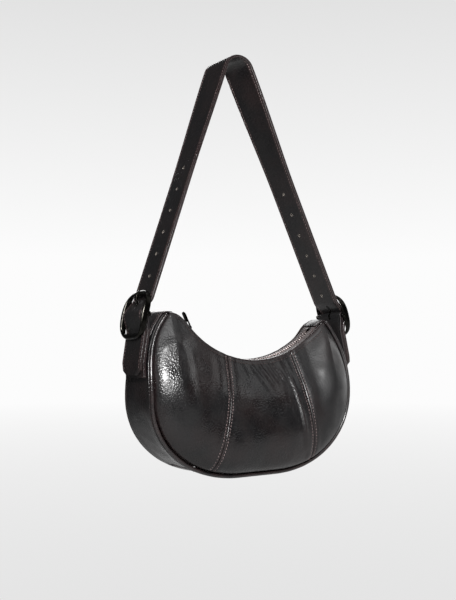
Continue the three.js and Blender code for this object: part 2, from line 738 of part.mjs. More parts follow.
// The hole that the prong passes through, drawn long by the prong.
function prongSlot(side) {
  const width = 2 * (PRONG_RADIUS + 2 * CLEARANCE);
  const slot = new THREE.BoxGeometry(6 * STRAP_THICKNESS, width, SLOT_HIGH - SLOT_LOW);
  slot.translate(0, 0, (SLOT_HIGH + SLOT_LOW) / 2);
  return slot.applyMatrix4(bucklePlace(side));
}

// Buckles, drawn with the frame's middle at the origin, +Z up the frame and +X out of its face

function bucklePlace(side) {
  const place = new THREE.Matrix4().makeTranslation(BUCKLE_X, 0, BUCKLE_Z);
  place.multiply(new THREE.Matrix4().makeRotationY(-radians(FRAME_LEAN_ANGLE)));
  if (side > 0) return place;
  return new THREE.Matrix4().makeRotationZ(Math.PI).multiply(place);
}

function barrel(radius, length) {
  return new THREE.CylinderGeometry(radius, radius, length, ROUND_STEPS);
}

const onBar = (geometry) => geometry.translate(-BAR_BACK, 0, 0);
const bow = (up) => FRAME_BOW * (1 - (up / FRAME_HALF_HEIGHT) ** 2);

// A point of a rounded outline whose upper and lower halves may differ, as [across, up].
function ovalPoint(turn, halfWidth, halfHeight, topPower, bottomPower) {
  const power = 2 / (Math.sin(turn) > 0 ? topPower : bottomPower);
  const stretch = (value) => Math.sign(value) * Math.abs(value) ** power;
  return [halfWidth * stretch(Math.cos(turn)), halfHeight * stretch(Math.sin(turn))];
}

function buckleFrame() {
  const front = ([across, up]) => new THREE.Vector3(bow(up) + FRAME_THICKNESS / 2, across, up);
  const back = ([across, up]) => new THREE.Vector3(-FRAME_THICKNESS / 2, across, up);
  const sections = Array.from({ length: FRAME_STEPS }, (_, k) => {
    const turn = (2 * Math.PI * k) / FRAME_STEPS;
    const outer = ovalPoint(turn, FRAME_OUTER, FRAME_HALF_HEIGHT, FRAME_TOP_POWER, FRAME_BOTTOM_POWER);
    const inner = ovalPoint(turn, FRAME_INNER, WINDOW_HALF_HEIGHT, WINDOW_POWER, WINDOW_POWER);
    return [front(outer), back(outer), back(inner), front(inner)];
  });
  const barrels = [-1, 1].map((end) => {
    const y = end * (FRAME_INNER + FRAME_SIDE_BAND / 2);
    return onBar(barrel(EYE_BORE + BARREL_WALL, FRAME_SIDE_BAND)).translate(0, y, 0);
  });
  return cut(join(strip(sections, true), ...barrels), onBar(barrel(EYE_BORE, 4 * FRAME_OUTER)));
}

function buckleBar() {
  return onBar(barrel(BAR_RADIUS, 2 * FRAME_OUTER));
}

// Prong: an eye on the bar and a pin that runs through the strap and lies on the frame's upper end.
function prong() {
  const eye = barrel(EYE_BORE + PRONG_EYE_WALL, PRONG_EYE_WIDTH);
  const ringEye = onBar(cut(eye, barrel(EYE_BORE, 2 * PRONG_EYE_WIDTH)));
  const onFrame = (up) => bow(up) + FRAME_THICKNESS / 2 + CLEARANCE + PRONG_RADIUS;
  const line = new THREE.CatmullRomCurve3([
    new THREE.Vector3(-BAR_BACK, 0, EYE_BORE + PRONG_EYE_WALL / 2),
    new THREE.Vector3(onFrame(WINDOW_HALF_HEIGHT), 0, WINDOW_HALF_HEIGHT),
    new THREE.Vector3(onFrame(FRAME_HALF_HEIGHT), 0, FRAME_HALF_HEIGHT),
  ]);
  const section = new THREE.Shape();
  section.absarc(0, 0, PRONG_RADIUS, 0, 2 * Math.PI, false);
  const pin = new THREE.ExtrudeGeometry(section, {
    extrudePath: line,
    steps: PRONG_STEPS,
    curveSegments: SHORT_STEPS,
  });
  return join(ringEye, pin);
}

// Chape: two plies stitched flat on the gusset, running behind the strap to an eye round the bar.
function chape() {
  const middleX = CHAPE_INNER_X + CHAPE_PLY;
  const behindStrap = STRAP_BEHIND + STRAP_THICKNESS / 2 + CLEARANCE + CHAPE_PLY;
  const path = [
    [middleX, CHAPE_LOW_Z],
    [middleX, CHAPE_BEND_Z],
    buckleToWorld(-STRAP_PASS, -behindStrap),
    [BAR_X, BAR_Z],
  ];
  const halfWidth = STRAP_WIDTH / 2;
  const plies = wall(path, CHAPE_PLY, -CHAPE_PLY, () => -halfWidth, () => halfWidth);
  const atBar = (geometry) => geometry.translate(BAR_X, 0, BAR_Z);
  const slotReach = EYE_RADIUS + CLEARANCE;
  const slot = new THREE.BoxGeometry(4 * slotReach, PRONG_EYE_WIDTH + 4 * CLEARANCE, 2 * slotReach);
  const eye = atBar(barrel(EYE_RADIUS, STRAP_WIDTH));
  return cut(join(plies, eye), atBar(barrel(EYE_BORE, 2 * STRAP_WIDTH)), atBar(slot));
}

// Finishes
const LEATHER = { color: 0x231c1b, roughness: 0.35, metalness: 0 };
const EDGE_LEATHER = { color: 0x2a2020, roughness: 0.4, metalness: 0 };
const LINING_CLOTH = { color: 0x2c221f, roughness: 0.9, metalness: 0 };
const TAPE_CLOTH = { color: 0x1f1818, roughness: 0.85, metalness: 0 };
const GUNMETAL = { color: 0x4b4740, roughness: 0.25, metalness: 1 };
const TOOTH_METAL = { color: 0x8d8177, roughness: 0.35, metalness: 1 };

function add(group, name, geometry, finish) {
  const mesh = new THREE.Mesh(geometry, new THREE.MeshStandardMaterial(finish));
  mesh.name = name;
  group.add(mesh);
  return mesh;
}

// Assembly
const bag = new THREE.Group();
for (const [name, side] of [["front", -1], ["back", 1]]) {
  const leather = (grid) => panelShell(grid, 0, PANEL_THICKNESS, side);
  add(bag, `${name}_panel_left`, leather(flipped(sideGrid(-1, CLEARANCE / 2)).reverse()), LEATHER);
  add(bag, `${name}_panel_centre`, leather(centreGrid(CLEARANCE / 2)), LEATHER);
  add(bag, `${name}_panel_right`, leather(sideGrid(1, CLEARANCE / 2)), LEATHER);
  const behind = PANEL_THICKNESS + LINING_GAP;
  add(bag, `${name}_lining`, panelShell(liningGrid(), behind, LINING_THICKNESS, side), LINING_CLOTH);
  add(bag, `${name}_piping`, piping(side), EDGE_LEATHER);
  add(bag, `zip_tape_${name}`, zipTape(side), TAPE_CLOTH);
  add(bag, `zip_teeth_${name}`, zipTeeth(side), TOOTH_METAL);
}

// The gusset's three strips meet at seams part of the way round the lower corners.
const seamTurn = THREE.MathUtils.radToDeg(CLEARANCE / (HALF_LENGTH - BASE_FLAT));
const sideStrip = (side) => [...cornerPath(BASE_SEAM_ANGLE + seamTurn, 90), ...sidePath(side).slice(1)];
const halfBase = [[0, 0], ...cornerPath(0, BASE_SEAM_ANGLE - seamTurn)];
add(bag, "gusset_right", gusset(sideStrip(1)), LEATHER);
add(bag, "gusset_left", gusset(mirrored(sideStrip(-1))), LEATHER);
add(bag, "gusset_base", gusset([...mirrored(halfBase).slice(0, -1), ...halfBase]), LEATHER);
add(bag, "gusset_lining", gussetLining(), LINING_CLOTH);
add(bag, "zip_stop_left", zipStop(TEETH_LEFT_X - CLEARANCE - STOP_LENGTH, TEETH_LEFT_X - CLEARANCE), GUNMETAL);
add(bag, "zip_stop_right", zipStop(TEETH_RIGHT_X + CLEARANCE, TEETH_RIGHT_X + CLEARANCE + STOP_LENGTH), GUNMETAL);
add(bag, "zip_end_tab_left", zipEndTab(-1), LEATHER);
add(bag, "zip_end_tab_right", zipEndTab(1), LEATHER);

const sliderTurn = new THREE.Group();
const sliderPlace = new THREE.Group();
sliderTurn.position.set(ZIP_CENTRE_X, 0, ZIP_CENTRE_Z);
sliderTurn.rotation.y = SLIDER_REST;
sliderPlace.position.z = -ZIP_CENTRE_Z;
sliderTurn.add(sliderPlace);
bag.add(sliderTurn);
add(sliderPlace, "zip_slider", zipSlider(), GUNMETAL);
add(sliderPlace, "zip_pull", zipPull(), GUNMETAL);

// The strap and all that hangs on it lean back together about the chapes' swing axis.
const strapTurn = new THREE.Group();
const strap = new THREE.Group();
strapTurn.position.z = SWING_Z;
strapTurn.rotation.x = -radians(STRAP_LEAN_BACK_ANGLE);
strap.position.z = -SWING_Z;
strapTurn.add(strap);
const holes = [
  ...strapHoles(-1, FIRST_HOLE_LEFT),
  ...strapHoles(1, FIRST_HOLE_RIGHT),
  prongSlot(-1),
  prongSlot(1),
];
const half = CLEARANCE / 2;
add(strap, "strap_outer", cut(strapPly(half, half + STRAP_PLY), ...holes), LEATHER);
add(strap, "strap_backing", cut(strapPly(-half - STRAP_PLY, -half), ...holes), EDGE_LEATHER);
for (const [name, side] of [["left", -1], ["right", 1]]) {
  const place = bucklePlace(side);
  add(strap, `${name}_buckle_frame`, buckleFrame().applyMatrix4(place), GUNMETAL);
  add(strap, `${name}_buckle_bar`, buckleBar().applyMatrix4(place), GUNMETAL);
  add(strap, `${name}_prong`, prong().applyMatrix4(place), GUNMETAL);
  add(strap, `${name}_chape`, side > 0 ? chape() : closedMirror(chape()), LEATHER);
}

const crescentBag = new THREE.Group();
crescentBag.add(bag, strapTurn);

export default crescentBag;
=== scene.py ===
# %% [markdown]
# # A crescent shoulder bag
#
# The bag is a half-moon of glossy dark leather with a curved zip along its hollow top edge. It hangs
# from a double leather strap on two buckles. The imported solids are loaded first, and each soft solid
# is then replaced by a finer piece at the same place, so that joints and sizes stay what they were.

# %% Load the frame
import math
from bisect import bisect_right

import bmesh
import bpy
from mathutils import Matrix, Vector, kdtree, noise


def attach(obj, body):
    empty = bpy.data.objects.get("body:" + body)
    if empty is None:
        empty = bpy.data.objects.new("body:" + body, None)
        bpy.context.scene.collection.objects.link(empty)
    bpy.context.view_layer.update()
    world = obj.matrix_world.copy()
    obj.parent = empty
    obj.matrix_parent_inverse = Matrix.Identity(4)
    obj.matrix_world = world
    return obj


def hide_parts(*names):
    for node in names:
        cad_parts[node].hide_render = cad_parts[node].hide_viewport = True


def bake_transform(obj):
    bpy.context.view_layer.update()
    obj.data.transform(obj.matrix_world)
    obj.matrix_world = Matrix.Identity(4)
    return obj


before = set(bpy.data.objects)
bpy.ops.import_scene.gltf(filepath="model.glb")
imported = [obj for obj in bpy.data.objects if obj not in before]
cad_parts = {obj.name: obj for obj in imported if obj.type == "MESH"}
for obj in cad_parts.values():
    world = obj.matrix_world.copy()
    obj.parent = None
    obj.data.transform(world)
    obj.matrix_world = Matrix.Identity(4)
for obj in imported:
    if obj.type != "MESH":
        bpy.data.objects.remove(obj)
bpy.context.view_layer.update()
scene = bpy.context.scene
scene.view_settings.view_transform = "Standard"
MM = 0.001

# %% [markdown]
# ## Camera
#
# The picture is taken from the bag's front left, a little above its middle and looking slightly up.
# A camera could be placed by eye, but a place and two angles worked out from the strap's legs and the
# ends of the bag give the same view every time.

# %% Camera
CAMERA_PLACE = (-0.554, -0.844, 0.162)
CAMERA_AZIMUTH = math.radians(32.4)
CAMERA_PITCH = math.radians(1.4)
CAMERA_LENS = 55.7

camera_data = bpy.data.cameras.new("view_camera")
camera_data.lens = CAMERA_LENS
camera = bpy.data.objects.new("view_camera", camera_data)
camera.location = CAMERA_PLACE
look = Vector((
    math.sin(CAMERA_AZIMUTH) * math.cos(CAMERA_PITCH),
    math.cos(CAMERA_AZIMUTH) * math.cos(CAMERA_PITCH),
    math.sin(CAMERA_PITCH),
))
camera.rotation_euler = look.to_track_quat("-Z", "Y").to_euler()
scene.collection.objects.link(camera)
scene.camera = camera
print("camera looks along", [round(c, 3) for c in look])

# %% [markdown]
# ## Studio
#
# The bag hangs in front of a pale, evenly lit room. The world is pale where the camera looks at it and
# dimmer where it lights the bag, so that dark leather stays dark while the background stays bright. The
# room turns a little greyer upwards. The floor lies well below the bag, and where the camera sees it its
# brightness is its own: greyer near the bag and as pale as the room far off, so it has no visible edge. In
# glossy rays its right half, on the light's side, glows pale as painted light, so the gloss of the leather
# shows a painted reflection of a lit floor there.

# %% Nodes, world and floor
def srgb(code):
    """Linear colour of a hexadecimal display colour."""
    channels = [int(code[i : i + 2], 16) / 255 for i in (0, 2, 4)]
    linear = [c / 12.92 if c <= 0.04045 else ((c + 0.055) / 1.055) ** 2.4 for c in channels]
    return (*linear, 1.0)


def plug(tree, node, inputs):
    """Sets a node's inputs to values or to other nodes' outputs."""
    for name, value in inputs.items():
        if isinstance(value, bpy.types.NodeSocket):
            tree.links.new(value, node.inputs[name])
        else:
            node.inputs[name].default_value = value


def add_node(tree, kind, inputs=None, **settings):
    node = tree.nodes.new("ShaderNode" + kind)
    for name, value in settings.items():
        setattr(node, name, value)
    plug(tree, node, inputs or {})
    return node


def ramp(tree, value, low, high, from_low=0.0, from_high=1.0):
    """The value moved from one range to another, as a socket."""
    inputs = {"Value": value, "From Min": from_low, "From Max": from_high, "To Min": low, "To Max": high}
    return add_node(tree, "MapRange", inputs).outputs["Result"]


def mix(tree, share, first, second, blend="MIX"):
    """Two colours mixed by a share, as a socket."""
    inputs = {0: share, 6: first, 7: second}
    return add_node(tree, "Mix", inputs, data_type="RGBA", blend_type=blend).outputs[2]


def combine(tree, operation, first, second):
    """Two values joined by a Math node, as a socket."""
    return add_node(tree, "Math", {0: first, 1: second}, operation=operation).outputs[0]


ROOM_SEEN = srgb("fcfcfc")
ROOM_ABOVE = srgb("e2e2e2")
ROOM_LIGHT = srgb("c9c9cc")
ROOM_STRENGTH = 0.12
GREYER_UPWARDS = (0.07, 0.33)
FLOOR_SEEN = srgb("e4e4e4")
FLOOR_MATT = srgb("b0b0b0")
FLOOR_Z = -0.30
FLOOR_RADIUS = 12.0
FLOOR_FADE = (0.6, 4.5)
FLOOR_PAINTED_GLOSS_LIGHT = 0.7
PAINTED_GLOSS_LIGHT_FULL_X = 0.5

world = bpy.data.worlds.new("studio")
world.use_nodes = True
scene.world = world
sky = world.node_tree
sky.nodes.clear()
ray = add_node(sky, "LightPath")
way = add_node(sky, "SeparateXYZ", {0: add_node(sky, "TexCoord").outputs["Object"]})
above = ramp(sky, way.outputs["Z"], 0.0, 1.0, *GREYER_UPWARDS)
seen = add_node(sky, "Background", {"Color": mix(sky, above, ROOM_SEEN, ROOM_ABOVE), "Strength": 1.0})
lit = add_node(sky, "Background", {"Color": ROOM_LIGHT, "Strength": ROOM_STRENGTH})
room = add_node(sky, "MixShader", {0: ray.outputs["Is Camera Ray"], 1: lit.outputs[0], 2: seen.outputs[0]})
add_node(sky, "OutputWorld", {"Surface": room.outputs[0]})

floor_paint = bpy.data.materials.new("studio_floor")
floor_paint.use_nodes = True
paint = floor_paint.node_tree
paint.nodes.clear()
ray = add_node(paint, "LightPath")
spot = add_node(paint, "TexCoord").outputs["Object"]
away = add_node(paint, "VectorMath", {0: spot}, operation="LENGTH").outputs["Value"]
floor_x = add_node(paint, "SeparateXYZ", {0: spot}).outputs["X"]
pale = mix(paint, ramp(paint, away, 0.0, 1.0, *FLOOR_FADE), FLOOR_SEEN, ROOM_SEEN)
own = add_node(paint, "Emission", {"Color": pale, "Strength": 1.0})
matt = add_node(paint, "BsdfDiffuse", {"Color": FLOOR_MATT})
# Painted light: in glossy rays the floor glows pale, more so towards its right, as a painted reflection of
# light falling on it there.
rightward = ramp(paint, floor_x, 0.0, FLOOR_PAINTED_GLOSS_LIGHT, 0.0, PAINTED_GLOSS_LIGHT_FULL_X)
painted_gloss_light = combine(paint, "MULTIPLY", ray.outputs["Is Glossy Ray"], rightward)
shown = combine(paint, "MAXIMUM", ray.outputs["Is Camera Ray"], painted_gloss_light)
mixed = add_node(paint, "MixShader", {0: shown, 1: matt.outputs[0], 2: own.outputs[0]})
add_node(paint, "OutputMaterial", {"Surface": mixed.outputs[0]})

floor_shape = bmesh.new()
bmesh.ops.create_circle(floor_shape, cap_ends=True, segments=96, radius=FLOOR_RADIUS)
bmesh.ops.translate(floor_shape, verts=floor_shape.verts, vec=(0, 0, FLOOR_Z))
floor_mesh = bpy.data.meshes.new("studio_floor")
floor_shape.to_mesh(floor_mesh)
floor_shape.free()
floor_mesh.materials.append(floor_paint)
floor = bpy.data.objects.new("studio_floor", floor_mesh)
scene.collection.objects.link(floor)
print("floor at", FLOOR_Z, "m")

# %% [markdown]
# ## Lights
#
# Six area lights make soft edges. The key light stands above the camera and draws the sparkling streak on
# the left panel and its piping. Faint broad ones far to the left and right round the ends of the bag, one
# in front on the right greys the leather below the zip, one overhead draws the horns and the crest of the
# strap, and one behind shows the back.

# %% Lights
LIGHTS = {
    "key_softbox": ((-0.70, -1.24, 0.73), 0.26, 36.0),
    "left_softbox": ((-1.70, -0.50, 0.50), 1.0, 1.5),
    "right_softbox": ((1.05, -0.78, 1.40), 1.0, 3.0),
    "side_softbox": ((1.70, 0.10, 0.35), 1.0, 6.0),
    "back_softbox": ((0.55, 1.35, 0.70), 0.9, 10.0),
    "top_softbox": ((0.10, 0.10, 1.75), 1.2, 5.0),
}
LIGHT_AIM = Vector((0.0, 0.0, 0.12))

for name, (place, size, power) in LIGHTS.items():
    light = bpy.data.lights.new(name, "AREA")
    light.shape = "DISK"
    light.size = size
    light.energy = power
    lamp = bpy.data.objects.new(name, light)
    lamp.location = place
    lamp.rotation_euler = (LIGHT_AIM - lamp.location).to_track_quat("-Z", "Y").to_euler()
    scene.collection.objects.link(lamp)
print("lights:", ", ".join(LIGHTS))

# %% [markdown]
# ## Leather
#
# The leather is smooth calf with a fine pebbled grain under a polished dressing: nearly black, turning to
# burgundy brown where the finish is thin and along handled edges. Cells of a Voronoi texture make the
# grain, two noises make the uneven dye and polish, and an attribute called wear, written when a piece
# is shaped, says where the edges and folds are rubbed. The right of the bag is handled more, so it is duller
# and its grain is flatter. So are the horns, where a hand holds the bag to open it.

# %% Leather finishes
def new_finish(name):
    """A material with an empty Principled shader and its object coordinates."""
    finish = bpy.data.materials.new(name)
    finish.use_nodes = True
    tree = finish.node_tree
    return finish, tree, tree.nodes["Principled BSDF"], add_node(tree, "TexCoord").outputs["Object"]


def clouds(tree, place, scale, detail):
    return add_node(tree, "TexNoise", {"Vector": place, "Scale": scale, "Detail": detail})


def bump(tree, height, distance, strength, under=None):
    """A bump over another one, as a normal socket."""
    inputs = {"Height": height, "Distance": distance, "Strength": strength}
    if under is not None:
        inputs["Normal"] = under
    return add_node(tree, "Bump", inputs).outputs["Normal"]


GRAIN_SCALE = 480
GRAIN_DEPTH = 0.0003
CREASE_SCALE = 190
CREASE_DEPTH = 0.0002
CREASE_SHIFT = 0.0012
DYE_SCALE = 26
POLISH_SCALE = 48
RIGHT_X = (0.03, 0.09)
RIGHT_DULLNESS = 0.28
HORN_HEIGHT = (0.132, 0.152)
STRAP_HEIGHT = (0.18, 0.20)


def leather_finish(name, dark, warm, rubbed, gloss, coat, horn_dullness):
    finish, tree, shader, place = new_finish(name)
    dye = clouds(tree, place, DYE_SCALE, 5.0).outputs[0]
    polish = clouds(tree, place, POLISH_SCALE, 4.0).outputs[0]
    crease = clouds(tree, place, CREASE_SCALE, 6.0)
    waver = {0: crease.outputs["Color"], "Scale": CREASE_SHIFT}
    shift = add_node(tree, "VectorMath", waver, operation="SCALE").outputs[0]
    bent = add_node(tree, "VectorMath", {0: place, 1: shift}, operation="ADD").outputs[0]
    grain = add_node(tree, "TexVoronoi", {"Vector": bent, "Scale": GRAIN_SCALE})
    pebble = ramp(tree, grain.outputs["Distance"], 1.0, 0.0, 0.0, 0.7)
    wear = add_node(tree, "Attribute", attribute_name="wear").outputs["Fac"]
    patchy = ramp(tree, combine(tree, "MULTIPLY", wear, crease.outputs[0]), 0.0, 0.5, 0.12, 0.62)
    dyed = mix(tree, ramp(tree, dye, 0.0, 1.0, 0.42, 0.68), srgb(dark), srgb(warm))
    grained = mix(tree, 1.0, dyed, ramp(tree, pebble, 0.75, 1.08), "MULTIPLY")
    spot = add_node(tree, "SeparateXYZ", {0: place})
    rightward, upward = spot.outputs["X"], spot.outputs["Z"]
    uneven = ramp(tree, polish, gloss - 0.06, gloss + 0.10, 0.35, 0.65)
    dulled = ramp(tree, rightward, 0.0, RIGHT_DULLNESS, *RIGHT_X)
    below_strap = ramp(tree, upward, 1.0, 0.0, *STRAP_HEIGHT)
    at_horn = ramp(tree, upward, 0.0, horn_dullness, *HORN_HEIGHT)
    handled = combine(tree, "MAXIMUM", dulled, combine(tree, "MULTIPLY", at_horn, below_strap))
    soft = bump(tree, crease.outputs[0], CREASE_DEPTH, 0.4)
    relief = ramp(tree, rightward, 0.65, 0.25, *RIGHT_X)
    plug(tree, shader, {
        "Base Color": mix(tree, patchy, grained, srgb(rubbed)),
        "Roughness": combine(tree, "ADD", uneven, handled),
        "Normal": bump(tree, pebble, GRAIN_DEPTH, relief, soft),
        "Specular IOR Level": 0.42,
        "Coat Weight": coat,
        "Coat Roughness": 0.2,
    })
    return finish


FINISHES = {
    "leather": leather_finish("polished_leather", "131213", "1d1717", "342424", 0.29, 0.2, 0.25),
    "trim_leather": leather_finish("trim_leather", "151314", "221a1a", "3f3130", 0.28, 0.6, 0.0),
}
print("leather finishes:", ", ".join(FINISHES))

# %% [markdown]
# ## Metal
#
# Buckles, slider and stops are polished gunmetal with an olive cast, dulled unevenly by handling. The zip's
# teeth are a paler, warmer metal. Noise stretched over the surface varies the polish, and a very fine bump
# breaks the reflections as real plating does.

# %% Metal finishes
def metal_finish(name, bright, dull, low_rough, high_rough):
    finish, tree, shader, place = new_finish(name)
    cloud = clouds(tree, place, 130.0, 6.0).outputs[0]
    scratch = clouds(tree, place, 2600.0, 3.0).outputs[0]
    tarnish = ramp(tree, cloud, 0.0, 1.0, 0.4, 0.65)
    plug(tree, shader, {
        "Base Color": mix(tree, tarnish, srgb(bright), srgb(dull)),
        "Roughness": ramp(tree, cloud, low_rough, high_rough, 0.3, 0.7),
        "Normal": bump(tree, scratch, 0.00003, 0.4),
        "Metallic": 1.0,
    })
    return finish


FINISHES["gunmetal"] = metal_finish("gunmetal", "2d2c29", "1c1b19", 0.16, 0.3)
FINISHES["tooth_metal"] = metal_finish("zip_tooth_metal", "ada09d", "877c7a", 0.22, 0.4)
print("metal finishes: gunmetal, tooth_metal")

# %% [markdown]
# ## Cloth and thread
#
# The zip's tapes are red-brown twill and the lining is a plain dark twill. Both weaves follow the cloth, so
# they read a UV map in which one unit is a millimetre. The thread is waxed dusty-brown polyester whose
# twist shows as fine diagonal bands. The rims of punched holes use the same bands in a pale tone: partly the
# pale of raw leather, partly a painted highlight that stands in for the lit walls of the holes.

# %% Cloth and thread finishes
TWILL_TURN = (0.0, 0.0, math.radians(35))
WAVES_PER_PITCH = 0.314


def cloth_finish(name, warp, weft, pitch):
    finish, tree, shader, place = new_finish(name)
    cloth = add_node(tree, "TexCoord").outputs["UV"]
    turned = add_node(tree, "Mapping", {"Vector": cloth, "Rotation": TWILL_TURN}).outputs[0]
    waves = WAVES_PER_PITCH / pitch
    rib = add_node(tree, "TexWave", {"Vector": turned, "Scale": waves, "Distortion": 0.6}).outputs["Fac"]
    cross = add_node(tree, "TexWave", {"Vector": cloth, "Scale": waves}, bands_direction="Y").outputs["Fac"]
    fade = clouds(tree, place, 60.0, 4.0).outputs[0]
    yarn = mix(tree, rib, srgb(warp), srgb(weft))
    plug(tree, shader, {
        "Base Color": mix(tree, 1.0, yarn, ramp(tree, fade, 0.7, 1.3, 0.3, 0.7), "MULTIPLY"),
        "Roughness": ramp(tree, fade, 0.72, 0.92),
        "Normal": bump(tree, combine(tree, "ADD", rib, cross), 0.00012, 0.6),
        "Sheen Weight": 0.25,
        "Sheen Roughness": 0.5,
    })
    return finish


def thread_finish(name, light, dark):
    finish, tree, shader, place = new_finish(name)
    strands = {"Vector": place, "Scale": 420.0, "Distortion": 1.5}
    twist = add_node(tree, "TexWave", strands, bands_direction="DIAGONAL").outputs["Fac"]
    dust = clouds(tree, place, 90.0, 3.0).outputs[0]
    strand = mix(tree, twist, srgb(dark), srgb(light))
    plug(tree, shader, {
        "Base Color": mix(tree, 1.0, strand, ramp(tree, dust, 0.65, 1.25, 0.3, 0.7), "MULTIPLY"),
        "Roughness": ramp(tree, dust, 0.45, 0.65),
        "Normal": bump(tree, twist, 0.00008, 0.7),
    })
    return finish


FINISHES["zip_tape"] = cloth_finish("zip_twill", "3d2523", "241817", 0.8)
FINISHES["lining"] = cloth_finish("lining_twill", "332622", "1d1614", 1.1)
FINISHES["thread"] = thread_finish("waxed_thread", "867573", "46393a")
FINISHES["dark_thread"] = thread_finish("dark_waxed_thread", "4b3530", "281c1a")
FINISHES["raw_edge_painted_pale"] = thread_finish("raw_leather_edge_painted_pale", "a49c93", "766e66")
print("cloth and thread:", "zip_tape, lining, thread, dark_thread, raw_edge_painted_pale")

# %% [markdown]
# ## Building with sheets and tubes
#
# Almost everything on a bag is a sheet or a strip. A grid made by create_grid, with each vertex moved to
# its place, gives a sheet, and a grid whose long edges meet, merged by remove_doubles, gives a tube or a
# strip of any section. One function turns such a bmesh into a finished piece: it sits at the origin, rides
# on its body and stands for its CAD node.

# %% Sheets, tubes and finished pieces
FACES = {"front": -1, "back": 1}
SIDES = {"left": -1, "right": 1}
SHARP_ANGLE = math.radians(38)
ACROSS = Vector((0, 1, 0))


def lerp(a, b, share):
    return a + (b - a) * share


def clamp(value):
    return min(max(value, 0.0), 1.0)


def ease(share):
    share = clamp(share)
    return share * share * (3 - 2 * share)


def bell(distance, width):
    """A smooth rise to 1 at no distance, over a width to each side."""
    return math.exp(-((distance / width) ** 2))


def signed_power(value, power):
    """A power that keeps the sign, which squares off a circle when it is below 1."""
    return math.copysign(abs(value) ** power, value)


def turns(count, shift=0.0):
    """Equal turns round a circle."""
    return [2 * math.pi * (k + shift) / count for k in range(count)]


def sheet(bm, columns, rows, place, measure=None, wear=None):
    """A grid with the vertex in column i and row j at place(i, j), in millimetres, with its UVs and wear."""
    worn = bm.verts.layers.float.new("wear") if wear else None
    verts = bmesh.ops.create_grid(bm, x_segments=columns, y_segments=rows, size=0.5)["verts"]
    index = {vert: (round((vert.co.x + 0.5) * columns), round((vert.co.y + 0.5) * rows)) for vert in verts}
    for vert, (i, j) in index.items():
        vert.co = place(i, j) * MM
        if wear:
            vert[worn] = wear(i, j)
    if measure:
        uv = bm.loops.layers.uv.verify()
        for face in {face for vert in verts for face in vert.link_faces}:
            for loop in face.loops:
                loop[uv].uv = measure(*index[loop.vert])
    return index


def tube(bm, rings, closed=False):
    """A skin through rings of equally many points, with filled ends or closed into a loop."""
    sides = len(rings[0])
    path = rings + rings[:1] if closed else rings
    index = sheet(bm, len(path) - 1, sides, lambda i, j: path[i][j % sides])
    bmesh.ops.remove_doubles(bm, verts=list(index), dist=1e-6)
    if not closed:
        bmesh.ops.holes_fill(bm, edges=[edge for edge in bm.edges if edge.is_boundary], sides=0)
    return bm


def round_ring(centre, normal, radius, sides):
    """A circle round a path in the x-z plane, as a ring of points."""
    nx, nz = normal
    ways = [Vector((nx * math.cos(t), math.sin(t), nz * math.cos(t))) for t in turns(sides)]
    return [centre + radius * way for way in ways]


def rounded_section(centre, out, over, half_out, half_over, corners=12, power=0.5, shift=0.5):
    """A rounded rectangle round a centre, as a ring of points."""
    ring = []
    for turn in turns(corners, shift):
        a, b = signed_power(math.cos(turn), power), signed_power(math.sin(turn), power)
        ring.append(centre + out * a * half_out + over * b * half_over)
    return ring


def finish_piece(name, bm, finish, body, *nodes, thickness=0.0, outward=None, place=None):
    """A piece from a bmesh, moved by a matrix. A thickness adds a wall behind its outward side."""
    if place is not None:
        bmesh.ops.transform(bm, matrix=place, verts=bm.verts)
    if outward is None:
        bmesh.ops.recalc_face_normals(bm, faces=bm.faces)
    else:
        bm.normal_update()
        if sum(outward(face.calc_center_median()).dot(face.normal) for face in bm.faces) < 0:
            bmesh.ops.reverse_faces(bm, faces=bm.faces)
    mesh = bpy.data.meshes.new(name)
    bm.to_mesh(mesh)
    bm.free()
    mesh.shade_smooth()
    mesh.set_sharp_from_angle(angle=SHARP_ANGLE)
    mesh.materials.append(FINISHES[finish])
    piece = bpy.data.objects.new(name, mesh)
    scene.collection.objects.link(piece)
    if thickness:
        wall = piece.modifiers.new("wall", "SOLIDIFY")
        wall.thickness = thickness * MM
        wall.offset = -1.0
    if nodes:
        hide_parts(*nodes)
    if body:
        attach(piece, body)
    return piece


print("faces:", ", ".join(FACES), "and sides:", ", ".join(SIDES))

# %% [markdown]
# ## Outline and panel surface
#
# Seen from the front the bag has a flat base, round lower corners, sides that turn in to two horns and a
# hollow top whose lowest point lies to the right of the middle. The panel swells out between its lower edge
# and its lip, most in the middle. These curves are the ones the solids were drawn with, written again here
# because the finer pieces need points between.

# %% Outline of the bag
HALF_LENGTH = 127.0
WIDEST_Z = 86.0
BASE_FLAT = 22.0
CORNER_POWER = 2.1
HORN_X = 104.0
HORN_Z = {-1: 172.0, 1: 164.0}
LIP_LOW_Z = 122.0
ZIP_RADIUS = 112.0
ZIP_CENTRE_X = 10.0
ZIP_CENTRE_Z = LIP_LOW_Z + ZIP_RADIUS
ARC_ANGLE = {-1: math.radians(48), 1: math.radians(46)}


def corner_point(turn):
    power = 2 / CORNER_POWER
    x = BASE_FLAT + (HALF_LENGTH - BASE_FLAT) * math.sin(turn) ** power
    return x, WIDEST_Z * (1 - max(math.cos(turn), 0.0) ** power)


def side_point(side, share):
    return HALF_LENGTH - (HALF_LENGTH - HORN_X) * share**3, lerp(WIDEST_Z, HORN_Z[side], share)


